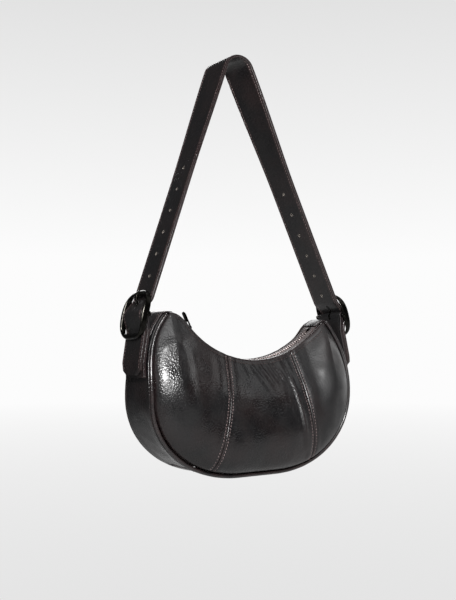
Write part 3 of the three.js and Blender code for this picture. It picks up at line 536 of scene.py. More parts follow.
def lip_z(x):
    """Height of the lip: a round stretch, eased into the horn at each end."""
    over = x - ZIP_CENTRE_X
    side = -1 if over < 0 else 1
    past = abs(over) - ZIP_RADIUS * math.sin(ARC_ANGLE[side])
    if past <= 0:
        return ZIP_CENTRE_Z - math.sqrt(ZIP_RADIUS**2 - over**2)
    end_z = ZIP_CENTRE_Z - ZIP_RADIUS * math.cos(ARC_ANGLE[side])
    slope = math.tan(ARC_ANGLE[side])
    run = HORN_X - side * ZIP_CENTRE_X - ZIP_RADIUS * math.sin(ARC_ANGLE[side])
    return end_z + slope * past - (slope * run - (HORN_Z[side] - end_z)) * (past / run) ** 2


def lip_path(start, end, steps):
    return [(x, lip_z(x)) for x in (lerp(start, end, i / steps) for i in range(steps + 1))]


def mirrored(path):
    return [(-x, z) for x, z in reversed(path)]


def unsided(path):
    return [(abs(x), z) for x, z in path]


def normals(path):
    """Unit normals to the right-hand side of a path in the x-z plane."""
    turned = []
    for i in range(len(path)):
        (ax, az), (bx, bz) = path[max(i - 1, 0)], path[min(i + 1, len(path) - 1)]
        length = math.hypot(bx - ax, bz - az)
        turned.append(((bz - az) / length, (ax - bx) / length))
    return turned


def offset(path, distance):
    return [(x + nx * distance, z + nz * distance) for (x, z), (nx, nz) in zip(path, normals(path))]


def lengths(path):
    """Distance from the start of a path to each of its points."""
    sums = [0.0]
    for (ax, az), (bx, bz) in zip(path, path[1:]):
        sums.append(sums[-1] + math.hypot(bx - ax, bz - az))
    return sums


def along(path, shares):
    """The points at shares of a path's length."""
    sums = lengths(path)
    points = []
    for share in shares:
        goal = clamp(share) * sums[-1]
        i = min(bisect_right(sums, goal), len(path) - 1)
        part = (goal - sums[i - 1]) / (sums[i] - sums[i - 1])
        points.append(tuple(lerp(path[i - 1][k], path[i][k], clamp(part)) for k in (0, 1)))
    return points


def resampled(path, step):
    count = max(round(lengths(path)[-1] / step), 1)
    return along(path, [i / count for i in range(count + 1)])


corner_curve = [corner_point(math.radians(90) * i / 48) for i in range(49)]
side_curve = {side: [side_point(side, i / 32) for i in range(33)] for side in (-1, 1)}
half_outline = {side: [(0.0, 0.0), *corner_curve, *side_curve[side][1:]] for side in (-1, 1)}
outline = mirrored(half_outline[-1])[:-1] + half_outline[1]
print("outline of", round(lengths(outline)[-1]), "mm from horn to horn")

# %% Swelling of the panels
GUSSET_WIDTH = 52.0
GUSSET_HORN_WIDTH = 28.0
PANEL_INSET = 4.6
PANEL_STEP = 2.3
PANEL_HORN_X = 98.2
HORN_START_X = 72.0
PANEL_HALF_LENGTH = HALF_LENGTH - PANEL_INSET
PANEL_BULGE = 22.0
LIP_HALF_GAP = 12.5
BULGE_LOW_POWER = 0.55


def gusset_half_width(z):
    return lerp(GUSSET_WIDTH, GUSSET_HORN_WIDTH, ease((z - WIDEST_Z) / (HORN_Z[1] - WIDEST_Z))) / 2


def panel_span(x):
    """Lowest and highest z of a panel at an x."""
    reach = min(abs(x), PANEL_HALF_LENGTH)
    over = clamp((reach - BASE_FLAT) / (PANEL_HALF_LENGTH - BASE_FLAT))
    low = WIDEST_Z - (WIDEST_Z - PANEL_INSET) * (1 - over**CORNER_POWER) ** (1 / CORNER_POWER)
    if reach <= PANEL_HORN_X:
        return low, lip_z(x)
    turn_in = (PANEL_HALF_LENGTH - reach) / (PANEL_HALF_LENGTH - PANEL_HORN_X)
    return low, WIDEST_Z + (lip_z(math.copysign(PANEL_HORN_X, x)) - WIDEST_Z) * turn_in ** (1 / 3)


def swell(rise, top_power):
    return rise**BULGE_LOW_POWER * (1 - rise) ** top_power


BULGE_PEAK = swell(BULGE_LOW_POWER / (BULGE_LOW_POWER + 1), 1)


def panel_depth(x, z):
    """Distance of the smooth panel surface from the bag's middle plane."""
    reach = min(abs(x), PANEL_HALF_LENGTH)
    low, high = panel_span(x)
    rise = clamp((z - low) / max(high - low, 1.0))
    side_edge = gusset_half_width(z) + PANEL_STEP
    hornward = ease((reach - HORN_START_X) / (PANEL_HORN_X - HORN_START_X))
    edge = lerp(side_edge, lerp(LIP_HALF_GAP, side_edge, hornward), rise**1.5)
    across = (1 - (reach / PANEL_HALF_LENGTH) ** 2.4) ** 0.55
    return edge + PANEL_BULGE * across * swell(rise, lerp(1, 0.8, hornward)) / BULGE_PEAK


print("panels stand out to", round(panel_depth(0, 45), 1), "mm")

# %% [markdown]
# ## Folds, seams and gathers
#
# Soft leather on a full bag never lies smooth. A long sharp fold runs beside the right seam, short gathers
# fan out below the zip where the lip is drawn in, and broad soft folds cross the side panels. Each fold is a
# ridge along a line with a hollow beside it. The leather also dips at every sewn edge and puckers between
# the stitches. A cloth simulation could make folds too, but not these folds in these places.

# %% Folds and sewn edges
SEAM_TOP = {-1: (-27.0, lip_z(-27.0)), 1: (55.0, lip_z(55.0))}
SEAM_BOTTOM = {-1: (-59.0, panel_span(-59.0)[0]), 1: (67.0, panel_span(67.0)[0])}
STITCH_PITCH = 3.4
STITCH_FROM_SEAM = 2.7
EDGE_ROLL = 1.7

# Folds as start, end, half width and height, with points as x and z on the face.
FRONT_FOLDS = [
    ((44.0, 110.0), (53.5, 36.0), 2.8, 1.6),
    ((37.0, 104.0), (43.0, 60.0), 4.0, 0.9),
    ((0.0, 117.0), (13.0, 94.0), 2.8, 0.9),
    ((11.0, 117.0), (22.0, 92.0), 2.6, 1.0),
    ((20.0, 118.0), (30.0, 95.0), 2.4, 0.9),
    ((29.0, 119.0), (37.0, 99.0), 2.2, 0.9),
    ((-14.0, 116.0), (-6.0, 92.0), 3.4, 0.6),
    ((66.0, 126.0), (72.0, 62.0), 6.0, 0.9),
    ((98.0, 150.0), (76.0, 92.0), 8.0, 0.9),
    ((84.0, 138.0), (70.0, 96.0), 4.5, 0.4),
    ((-80.0, 150.0), (-60.0, 108.0), 5.5, 0.5),
    ((-92.0, 152.0), (-84.0, 108.0), 5.5, 0.3),
    ((-86.0, 143.0), (-114.0, 138.0), 5.5, 0.8),
    ((-44.0, 122.0), (-52.0, 92.0), 4.0, 0.7),
]
BACK_FOLDS = [
    ((-40.0, 110.0), (-52.0, 45.0), 2.6, 1.1),
    ((-20.0, 116.0), (-8.0, 90.0), 3.0, 0.9),
    ((-6.0, 117.0), (4.0, 94.0), 2.8, 0.8),
    ((12.0, 117.0), (20.0, 92.0), 2.8, 0.9),
    ((58.0, 122.0), (66.0, 66.0), 5.0, 1.1),
    ((92.0, 148.0), (80.0, 96.0), 6.0, 1.2),
    ((-88.0, 150.0), (-72.0, 100.0), 6.0, 1.2),
]


FOLD_RUN_OUT = 0.25
FOLD_REACH = 4.0
HOLLOW_SHARE = 0.55
HOLLOW_OFF = 1.7


def beside_line(start, end, x, z):
    """Distance along a line and to the right of it in the x-z plane, and the line's length."""
    (ax, az), (bx, bz) = start, end
    dx, dz = bx - ax, bz - az
    length = math.hypot(dx, dz)
    return ((x - ax) * dx + (z - az) * dz) / length, ((x - ax) * dz - (z - az) * dx) / length, length


def fold_height(folds, x, z):
    total = 0.0
    for start, end, width, height in folds:
        run, gap, length = beside_line(start, end, x, z)
        share, off = run / length, gap / width
        if -FOLD_RUN_OUT < share < 1 + FOLD_RUN_OUT and abs(off) <= FOLD_REACH:
            fade = ease((share + FOLD_RUN_OUT) / 0.45) * ease((1 + FOLD_RUN_OUT - share) / 0.6)
            total += height * fade * (bell(off, 1) - HOLLOW_SHARE * bell(off - HOLLOW_OFF, 1))
    return total


panel_edge = {}
for side in SIDES.values():
    inset = offset(half_outline[side], -PANEL_INSET)[:-1]
    panel_edge[side] = inset + [(PANEL_HORN_X, lip_z(side * PANEL_HORN_X))]
whole_edge = mirrored(panel_edge[-1])[:-1] + panel_edge[1]
edge_points = resampled(whole_edge, 1.0)
edge_tree = kdtree.KDTree(len(edge_points))
for number, (x, z) in enumerate(edge_points):
    edge_tree.insert((x, 0.0, z), number)
edge_tree.balance()


def roll(distance, radius):
    """How far a rounded edge has dropped at a distance from its end."""
    if distance >= radius:
        return 0.0
    return radius - math.sqrt(max(radius**2 - (radius - max(distance, 0.0)) ** 2, 0.0))


NOISE_APART = 40.0
LIP_STEEPNESS = 0.8
LUMPS = ((34.0, 1.1), (11.0, 0.35))
LUMP_FADE = 14.0
FOLD_FADE = 10.0
FOLD_WEAR = 0.35
GATHER_X = 16.0
GATHER_SPREAD = 24.0
GATHER_DROP = 6.0
GATHER_HEIGHT = 0.5
GATHER_WAVES = 1.15
SEAM_REACH = 14.0
SEAM_DIP = 0.9
SEAM_PUFF = 0.5
STITCH_DIP = 0.3
HEM_DIP = 0.25
HEM_DROP = 4.0
WEAR_FADE = 2.5


def dressed_depth(face, x, z):
    """Distance of the folded, puckered and rolled leather from the middle plane, and its wear."""
    place = Vector((x, face * NOISE_APART, z))
    lip_drop = (lip_z(x) - z) * LIP_STEEPNESS
    edge_gap = edge_tree.find((x, 0.0, z))[2]
    inside = ease(min(edge_gap, lip_drop + 2.0) / LUMP_FADE)
    height = fold_height(FRONT_FOLDS if face < 0 else BACK_FOLDS, x, z) * ease(edge_gap / FOLD_FADE)
    wear = clamp(height * FOLD_WEAR)
    height += inside * sum(rise * noise.noise(place / size) for size, rise in LUMPS)
    gather = bell(x - GATHER_X, GATHER_SPREAD) * math.exp(-max(lip_drop, 0.0) / GATHER_DROP)
    wave = math.sin(x * GATHER_WAVES + 1.2 * noise.noise(place / 9.0))
    height += GATHER_HEIGHT * gather * wave * ease(lip_drop / 3.0)
    for side in SIDES.values():
        run, gap, _ = beside_line(SEAM_BOTTOM[side], SEAM_TOP[side], x, z)
        gap = abs(gap)
        if gap < SEAM_REACH:
            pucker = 0.5 + 0.5 * math.cos(2 * math.pi * run / STITCH_PITCH)
            stitched = STITCH_DIP * bell(gap - STITCH_FROM_SEAM, 0.9) * pucker
            height -= stitched + SEAM_DIP * math.exp(-gap / 0.8)
            height += SEAM_PUFF * bell(gap - 6.0, 3.5)
            wear = max(wear, 0.6 * bell(gap - 1.2, 1.6))
    height -= roll(lip_drop, EDGE_ROLL) + roll(edge_gap, EDGE_ROLL)
    height -= HEM_DIP * bell(lip_drop - HEM_DROP, 0.9)
    wear = max(wear, math.exp(-max(lip_drop, 0.0) / WEAR_FADE), 0.7 * math.exp(-edge_gap / WEAR_FADE))
    return panel_depth(x, z) + height, wear


print("folds:", len(FRONT_FOLDS), "on the front,", len(BACK_FOLDS), "on the back")

# %% [markdown]
# ## Panels
#
# Three panels make each face: left, centre and right, sewn edge to edge. Each is a grid stretched between its
# four edges, with the rows closer together near the edges, where the leather turns under. Solidify then
# gives the sheet its thickness, on the inside.

# %% Panels of both faces
PANEL_COLUMNS = 84
PANEL_ROWS = 92
LEATHER_THICKNESS = 1.3
EDGE_CROWDING = 0.62
SEAM_GAP = 0.15
LIP_STEPS = 60


def edge_shares(count):
    """Shares from 0 to 1 that lie closer together at both ends."""
    turn = 2 * math.pi / count
    return [i / count - EDGE_CROWDING * math.sin(turn * i) / (2 * math.pi) for i in range(count + 1)]


def patch(bottom, top, left, right, columns, rows):
    """Points of a patch stretched between four edge paths, as rows of columns."""
    us, vs = edge_shares(columns), edge_shares(rows)
    low, high = along(bottom, us), along(top, us)
    near, far = along(left, vs), along(right, vs)
    points = []
    for i, u in enumerate(us):
        line = []
        for j, v in enumerate(vs):
            blend = [
                lerp(low[i][k], high[i][k], v) + lerp(near[j][k], far[j][k], u)
                - lerp(lerp(bottom[0][k], bottom[-1][k], u), lerp(top[0][k], top[-1][k], u), v)
                for k in (0, 1)
            ]
            line.append(tuple(blend))
        points.append(line)
    return points


def seam_path(side, gap):
    (ax, az), (bx, bz) = SEAM_BOTTOM[side], SEAM_TOP[side]
    return [(ax + gap, panel_span(ax + gap)[0]), (bx + gap, lip_z(bx + gap))]


def panel_patch(which, columns, rows, gap=SEAM_GAP):
    if which == "centre":
        left, right = seam_path(-1, gap), seam_path(1, -gap)
        low_edge = [p for p in whole_edge if left[0][0] < p[0] < right[0][0] and p[1] < WIDEST_Z]
        bottom = [left[0], *low_edge, right[0]]
        return patch(bottom, lip_path(left[1][0], right[1][0], LIP_STEPS), left, right, columns, rows)
    side = 1 if which == "right" else -1
    seam = unsided(seam_path(side, side * gap))
    edge = panel_edge[side]
    widest = next(i for i, (x, z) in enumerate(edge) if z >= WIDEST_Z - 1e-6)
    bottom = [seam[0], *[p for p in edge[: widest + 1] if p[0] > seam[0][0]]]
    top = unsided(lip_path(side * seam[1][0], side * PANEL_HORN_X, LIP_STEPS))
    grid = patch(bottom, top, seam, edge[widest:], columns, rows)
    if side > 0:
        return grid
    return [[(-x, z) for x, z in line] for line in reversed(grid)]


def outward_from_middle(face):
    return lambda centre: Vector((0.0, face, 0.0))


for face_name, face in FACES.items():
    for which in ("left", "centre", "right"):
        grid = panel_patch(which, PANEL_COLUMNS, PANEL_ROWS)
        shaped = [[dressed_depth(face, x, z) for x, z in line] for line in grid]

        def place(i, j):
            x, z = grid[i][j]
            return Vector((x, face * shaped[i][j][0], z))

        bm = bmesh.new()
        sheet(bm, PANEL_COLUMNS, PANEL_ROWS, place, wear=lambda i, j: shaped[i][j][1])
        node = f"{face_name}_panel_{which}"
        finish_piece(node + "_leather", bm, "leather", "bag", node,
                     thickness=LEATHER_THICKNESS, outward=outward_from_middle(face))
print("panels of", PANEL_COLUMNS, "by", PANEL_ROWS, "faces")

# %% [markdown]
# ## Stitching
#
# Dusty-brown thread runs in a row along each side of the panel seams. A stitch is a tiny rounded grain: an
# icosphere of twenty faces, stretched along its row and sunk halfway into the leather. Every row in this
# script is laid by the same function, from the points that the row runs through.

# %% Stitch rows
THREAD_RADIUS = 0.42
FINE_THREAD_RADIUS = 0.34
HEM_THREAD_RADIUS = 0.3
STITCH_LENGTH = 2.5
STITCH_LIFT = 0.12


def stitch_row(bm, points, ups, radius=THREAD_RADIUS):
    """Stitches laid along points, each standing up in the direction given at its point, in millimetres."""
    travelled, due = 0.0, STITCH_PITCH / 2
    for start, end, up in zip(points, points[1:], ups):
        step = (end - start).length
        while travelled + step >= due:
            here = start.lerp(end, (due - travelled) / step)
            forward = (end - start).normalized()
            across = up.cross(forward).normalized()
            axes = Matrix((forward * STITCH_LENGTH / 2, across * radius, forward.cross(across) * radius))
            bmesh.ops.create_icosphere(bm, subdivisions=1, radius=MM,
                                       matrix=Matrix.Translation(here * MM) @ axes.transposed().to_4x4())
            due += STITCH_PITCH
        travelled += step


def face_point(face, x, z, lift=0.0):
    depth = dressed_depth(face, x, z)[0]
    return Vector((x, face * (depth + lift), z))


def face_row(bm, face, path, radius=THREAD_RADIUS):
    points = [face_point(face, x, z, STITCH_LIFT) for x, z in path]
    ups = []
    for x, z in path:
        near = face_point(face, x, z)
        slope_x = face_point(face, x + 1, z) - near
        slope_z = face_point(face, x, z - 1) - near
        up = slope_x.cross(slope_z).normalized()
        ups.append(up if up.y * face > 0 else -up)
    stitch_row(bm, points, ups, radius)


for face_name, face in FACES.items():
    bm = bmesh.new()
    for side in SIDES.values():
        for gap in (-STITCH_FROM_SEAM, STITCH_FROM_SEAM):
            (ax, az), (bx, bz) = seam_path(side, gap)
            face_row(bm, face, [(lerp(ax, bx, i / 160), lerp(az, bz, i / 160)) for i in range(2, 157)])
    count = len(bm.verts) // 12
    finish_piece(f"{face_name}_seam_stitches", bm, "thread", "bag")
    print(face_name, "seams:", count, "stitches")

# %% Stitches along the lips
LIP_STITCH_DROP = 4.6
LIP_STITCH_END_X = 95.0

hem = offset(lip_path(-LIP_STITCH_END_X, LIP_STITCH_END_X, 150), LIP_STITCH_DROP)
for face_name, face in FACES.items():
    bm = bmesh.new()
    face_row(bm, face, hem, HEM_THREAD_RADIUS)
    finish_piece(f"{face_name}_lip_stitches", bm, "dark_thread", "bag")
print("lip rows laid", LIP_STITCH_DROP, "mm below the edge")

# %% [markdown]
# ## Gusset
#
# The gusset is the strip that runs under the bag from horn to horn, in three lengths: two sides and a base.
# It is drawn in slightly between its edges and turns under at both of them. It is a sheet laid along the
# outline, given its wall by Solidify like the panels.

# %% Gusset strips
GUSSET_SAG = 1.0
SAG_RUN = 12.0
GUSSET_EDGE_ROLL = 1.4
GUSSET_END_ROLL = 1.2
GUSSET_ROWS = 28
GUSSET_STEP = 2.2
BASE_SEAM_TURN = math.radians(30)
BASE_SEAM_HALF_GAP = 0.3
BAG_MIDDLE = Vector((0.0, 0.0, 0.1))


def outward_from_centre(centre):
    return centre - BAG_MIDDLE


def gusset_drop(from_end, z, share):
    """How far the strip lies below the outline, at a share of its width and a distance from its nearer end."""
    half = gusset_half_width(z)
    from_edge = half - abs(lerp(-half, half, share))
    sag = GUSSET_SAG * ease(from_edge / SAG_RUN)
    return sag + roll(from_edge, GUSSET_EDGE_ROLL) + roll(from_end, GUSSET_END_ROLL)


def gusset_strip(name, path):
    path = resampled(path, GUSSET_STEP)
    outs, run, shares = normals(path), lengths(path), edge_shares(GUSSET_ROWS)
    from_end = [min(distance, run[-1] - distance) for distance in run]
    from_edge = [min(share, 1 - share) for share in shares]

    def place(i, j):
        (x, z), (nx, nz) = path[i], outs[i]
        spot = Vector((x, lerp(-1, 1, shares[j]) * gusset_half_width(z), z))
        lump = 0.5 * noise.noise(spot / 16.0) * ease(from_edge[j] * 6)
        return spot - Vector((nx, 0, nz)) * (gusset_drop(from_end[i], z, shares[j]) - lump)

    def wear(i, j):
        return 0.6 * max(math.exp(-from_edge[j] * GUSSET_WIDTH / 2.0), math.exp(-from_end[i] / WEAR_FADE))

    bm = bmesh.new()
    sheet(bm, len(path) - 1, GUSSET_ROWS, place, wear=wear)
    finish_piece(name + "_leather", bm, "leather", "bag", name, thickness=LEATHER_THICKNESS,
                 outward=outward_from_centre)


def corner_stretch(start, end):
    return [corner_point(lerp(start, end, i / 24)) for i in range(25)]


seam_turn = BASE_SEAM_HALF_GAP / (HALF_LENGTH - BASE_FLAT)
half_base = [(0.0, 0.0), *corner_stretch(0, BASE_SEAM_TURN - seam_turn)]
side_start = corner_stretch(BASE_SEAM_TURN + seam_turn, math.radians(90))
gusset_strip("gusset_right", side_start + side_curve[1][1:])
gusset_strip("gusset_left", mirrored(side_start + side_curve[-1][1:]))
gusset_strip("gusset_base", mirrored(half_base)[:-1] + half_base)
print("gusset base", round(2 * lengths(half_base)[-1]), "mm long between its seams")

# %% Stitches across the gusset's seams
ROW_TURN = 0.027
ROW_SHARES = [0.05 + 0.9 * i / 40 for i in range(41)]

bm = bmesh.new()
near, far = corner_point(BASE_SEAM_TURN - 0.1), corner_point(BASE_SEAM_TURN + 0.1)
for side in SIDES.values():
    for turn in (-ROW_TURN, ROW_TURN):
        x, z = corner_point(BASE_SEAM_TURN + turn)
        nx, nz = normals([near, (x, z), far])[1]
        up = Vector((side * nx, 0, nz))
        half = gusset_half_width(z)
        row = [Vector((side * x, lerp(-half, half, share), z)) - up * (gusset_drop(3.0, z, share) - 0.1)
               for share in ROW_SHARES]
        stitch_row(bm, row, [up] * len(row))
finish_piece("gusset_seam_stitches", bm, "thread", "bag")
print("gusset in three strips, sewn at", round(corner_point(BASE_SEAM_TURN)[0]), "mm from the middle")

# %% [markdown]
# ## Piping
#
# A leather-covered cord stands in the seam between each face and the gusset. It is a tube swept along the
# outline. Covered cord is never perfectly round, so its radius wavers a little.

# %% Piping
PIPING_RADIUS = 2.0
PIPING_SIDES = 14
PIPING_FROM_GUSSET = 0.3

fine = resampled(outline, 2.0)
middle = offset(fine, -PIPING_RADIUS)
for face_name, face in FACES.items():
    rings = []
    for (x, z), normal, (_, edge_z) in zip(middle, normals(middle), fine):
        centre = Vector((x, face * (gusset_half_width(edge_z) + PIPING_FROM_GUSSET + PIPING_RADIUS), z))
        radius = PIPING_RADIUS * (0.96 + 0.04 * noise.noise(centre / 7.0))
        rings.append(round_ring(centre, normal, radius, PIPING_SIDES))
    bm = tube(bmesh.new(), rings)
    worn = bm.verts.layers.float.new("wear")
    for vert in bm.verts:
        vert[worn] = 0.45 + 0.35 * noise.noise(vert.co * 60)
    finish_piece(f"{face_name}_piping_cord", bm, "trim_leather", "bag", f"{face_name}_piping")
print("piping:", len(rings), "rings on each face")

# %% [markdown]
# ## Lining
#
# The lining hangs just inside the leather, cloth side in, and shows only when the zip is open. It follows
# the same surfaces a little further in, as one sheet for each face and one along the gusset.

# %% Lining of faces and gusset
LINING_THICKNESS = 0.7
LINING_INSET = 2.7
LINING_SHRINK = 0.985
LINING_COLUMNS = 22
LINING_ROWS = 24
GUSSET_LINING_INSET = 3.6
GUSSET_LINING_ROWS = 8

for face_name, face in FACES.items():
    parts = [panel_patch(which, LINING_COLUMNS, LINING_ROWS, 0.0) for which in ("left", "centre", "right")]
    grid = parts[0] + parts[1][1:] + parts[2][1:]

    def place(i, j):
        x, z = grid[i][j]
        y = face * (panel_depth(x, z) - LINING_INSET)
        return Vector((x * LINING_SHRINK, y, lerp(WIDEST_Z, z, LINING_SHRINK)))

    bm = bmesh.new()
    sheet(bm, len(grid) - 1, len(grid[0]) - 2, place, lambda i, j: (i * 4.0, j * 4.5))
    finish_piece(f"{face_name}_lining_cloth", bm, "lining", "bag", f"{face_name}_lining",
                 thickness=LINING_THICKNESS, outward=outward_from_middle(face))

fine = resampled(outline, 5.0)
inner = offset(fine, -GUSSET_LINING_INSET)


def gusset_lining_place(i, j):
    half = gusset_half_width(fine[i][1]) - 0.5
    return Vector((inner[i][0], lerp(-1, 1, j / GUSSET_LINING_ROWS) * half, inner[i][1]))


bm = bmesh.new()
sheet(bm, len(fine) - 1, GUSSET_LINING_ROWS, gusset_lining_place, lambda i, j: (i * 5.0, j * 6.0))
finish_piece("gusset_lining_cloth", bm, "lining", "bag", "gusset_lining", thickness=LINING_THICKNESS,
             outward=outward_from_centre)
print("lining in three sheets")

# %% [markdown]
# ## Zip tapes and teeth
#
# A metal zip follows the lip. Each tape is a strip of twill, and each tooth is a small block with rounded
# edges clamped over the tape's cord. The two rows stand half a pitch apart, with a narrow gap between them.

# %% Zip tapes
TAPE_DROP = 1.2
TAPE_END_X = 96.1
TAPE_EDGE = 10.2
TAPE_INNER = 2.6
TAPE_THICKNESS = 0.8
TAPE_ROWS = 10

line = offset(lip_path(-TAPE_END_X, TAPE_END_X, 150), TAPE_DROP - TAPE_THICKNESS / 2)
run, outs = lengths(line), normals(line)
tape_ys = [lerp(TAPE_INNER, TAPE_EDGE, j / TAPE_ROWS) for j in range(TAPE_ROWS + 1)]
for face_name, face in FACES.items():

    def place(i, j):
        (x, z), (nx, nz) = line[i], outs[i]
        wave = 0.12 * noise.noise(Vector((run[i] / 9.0, tape_ys[j] / 6.0, face)))
        return Vector((x + nx * wave, face * tape_ys[j], z + nz * wave))

    bm = bmesh.new()
    sheet(bm, len(line) - 1, TAPE_ROWS, place, lambda i, j: (run[i], tape_ys[j]))
    finish_piece(f"zip_tape_{face_name}_twill", bm, "zip_tape", "bag", f"zip_tape_{face_name}",
                 thickness=TAPE_THICKNESS, outward=lambda centre: Vector((0.0, 0.0, 1.0)))
print("tapes", round(run[-1]), "mm long")

# %% Zip teeth
TEETH_START_X = -81.8
TEETH_END_X = 87.6
TOOTH_PITCH = 2.9
TOOTH_SIZE = (1.35, 2.5, 2.8)
TOOTH_BEVEL = 0.3
FIRST_TOOTH = {-1: 0.75, 1: 0.25}
ROW_GAP = 0.45
CORD_OFF = 2.3
CORD_RADIUS = 0.75


def edges_of(verts):
    """The edges at some vertices, each once and in a fixed order."""
    return list(dict.fromkeys(edge for vert in verts for edge in vert.link_edges))


def soften(bm, edges, bevel, segments):
    """Rounds edges off and gives the vertices that this makes."""
    cut = bmesh.ops.bevel(bm, geom=edges, offset=bevel * MM, offset_type="OFFSET", affect="EDGES",
                          segments=segments, profile=0.5, material=-1, clamp_overlap=True)
    return list(dict.fromkeys(vert for face in cut["faces"] for vert in face.verts))


def rounded_block(bm, size, bevel, matrix, segments=1):
    """A block of a size in millimetres with rounded edges, placed by a matrix."""
    made = bmesh.ops.create_cube(bm, size=1.0)["verts"]
    bmesh.ops.scale(bm, verts=made, vec=[side * MM for side in size])
    bmesh.ops.transform(bm, matrix=matrix, verts=soften(bm, edges_of(made), bevel, segments))


def zip_place(x, lift):
    """Place, forward direction and up direction of the chain at an x, in millimetres."""
    (ax, az), (bx, bz) = (x - 0.5, lip_z(x - 0.5)), (x + 0.5, lip_z(x + 0.5))
    forward = Vector((bx - ax, 0, bz - az)).normalized()
    up = Vector((-forward.z, 0, forward.x))
    return Vector((x, 0, lip_z(x))) + up * (lift - TAPE_DROP), forward, up


def zip_matrix(x, y=0.0, lift=0.0):
    spot, forward, up = zip_place(x, lift)
    axes = Matrix((forward, ACROSS, up)).transposed().to_4x4()
    return Matrix.Translation((spot + ACROSS * y) * MM) @ axes


chain = lip_path(TEETH_START_X + 0.8, TEETH_END_X - 0.8, 200)
cord_line = offset(lip_path(TEETH_START_X, TEETH_END_X, 90), TAPE_DROP)
tooth_count = round(lengths(chain)[-1] / TOOTH_PITCH)
for face_name, face in FACES.items():
    bm = bmesh.new()
    shares = [(k + FIRST_TOOTH[face]) / (tooth_count + 1) for k in range(tooth_count)]
    for x, _ in along(chain, shares):
        rounded_block(bm, TOOTH_SIZE, TOOTH_BEVEL, zip_matrix(x, face * (ROW_GAP + TOOTH_SIZE[1] / 2)))
    tube(bm, [round_ring(Vector((x, face * CORD_OFF, z)), normal, CORD_RADIUS, 8)
              for (x, z), normal in zip(cord_line, normals(cord_line))])
    finish_piece(f"zip_teeth_{face_name}_row", bm, "tooth_metal", "bag", f"zip_teeth_{face_name}")
print("zip:", tooth_count, "teeth in each row")

# %% [markdown]
# ## Zip stops, slider and pull
#
# A small metal clip stops the zip at each end. The slider is two rounded plates on a post, with an arched
# bridge on top, and a flat pull with a window lies back in the bridge. Rounded blocks make the plates, and the
# arch is a tube swept over a half circle, so that all edges catch the light.

# %% Stops
STOP_SIZE = (3.0, 5.8, 2.9)
STOP_X = {"left": TEETH_START_X - 1.8, "right": TEETH_END_X + 1.8}

for name, x in STOP_X.items():
    bm = bmesh.new()
    rounded_block(bm, STOP_SIZE, 0.5, zip_matrix(x), 2)
    finish_piece(f"zip_stop_{name}_clip", bm, "gunmetal", "bag", f"zip_stop_{name}")
print("stops at x", [round(x, 1) for x in STOP_X.values()])

# %% Slider
SLIDER_LENGTH = 13.0
SLIDER_WIDTH = 9.0
SLIDER_ANGLE = ARC_ANGLE[-1] - SLIDER_LENGTH / 2 / ZIP_RADIUS
SLIDER_X = ZIP_CENTRE_X - ZIP_RADIUS * math.sin(SLIDER_ANGLE)
SLIDER_GAP = 1.8
SLIDER_TOP = 1.5
SLIDER_BOTTOM = 1.1
POST_SIZE = (7.0, 0.6, 2 * SLIDER_GAP + 1.0)
HINGE_LIFT = SLIDER_GAP + SLIDER_TOP + 1.5
BRIDGE_REACH = 1.95
BRIDGE_WIDTH = 2.4
BRIDGE_HALF_THICKNESS = 0.45
BRIDGE_FOOT = 2.6
ARCH_STEPS = 16

bm = bmesh.new()
plate_length = SLIDER_LENGTH - 0.2
for thickness, bevel, lift in ((SLIDER_TOP, 0.55, SLIDER_GAP + SLIDER_TOP / 2),
                               (SLIDER_BOTTOM, 0.4, -SLIDER_GAP - SLIDER_BOTTOM / 2)):
    rounded_block(bm, (plate_length, SLIDER_WIDTH, thickness), bevel, zip_matrix(SLIDER_X, 0.0, lift), 3)
rounded_block(bm, POST_SIZE, 0.15, zip_matrix(SLIDER_X))
hinge, forward, up = zip_place(SLIDER_X, HINGE_LIFT)
arch = []
for turn in (math.pi * k / ARCH_STEPS for k in range(ARCH_STEPS + 1)):
    out = forward * math.cos(turn) + up * math.sin(turn)
    arch.append(rounded_section(hinge + out * BRIDGE_REACH, out, ACROSS, BRIDGE_HALF_THICKNESS,
                                BRIDGE_WIDTH / 2, power=0.6, shift=0.0))
feet = [[point - up * BRIDGE_FOOT for point in arch[end]] for end in (0, -1)]
tube(bm, [feet[0], *arch, feet[1]])
finish_piece("zip_slider_body", bm, "gunmetal", "zip_slider", "zip_slider")
print("slider at x", round(SLIDER_X, 1))

# %% Pull
PULL_LENGTH = 19.0
PULL_WIDTH = 7.0
PULL_HALF_THICKNESS = 0.8
PULL_WINDOW = 6.0
PULL_TURN = math.radians(160)
LOOP_HALF_SIDE = 0.75
LOOP_FAR = PULL_WINDOW + 1.7
LOOP_STEPS = 28
PLATE_FAR = PULL_LENGTH - 0.85
PLATE_STEPS = 14
TIP_LENGTH = 3.5

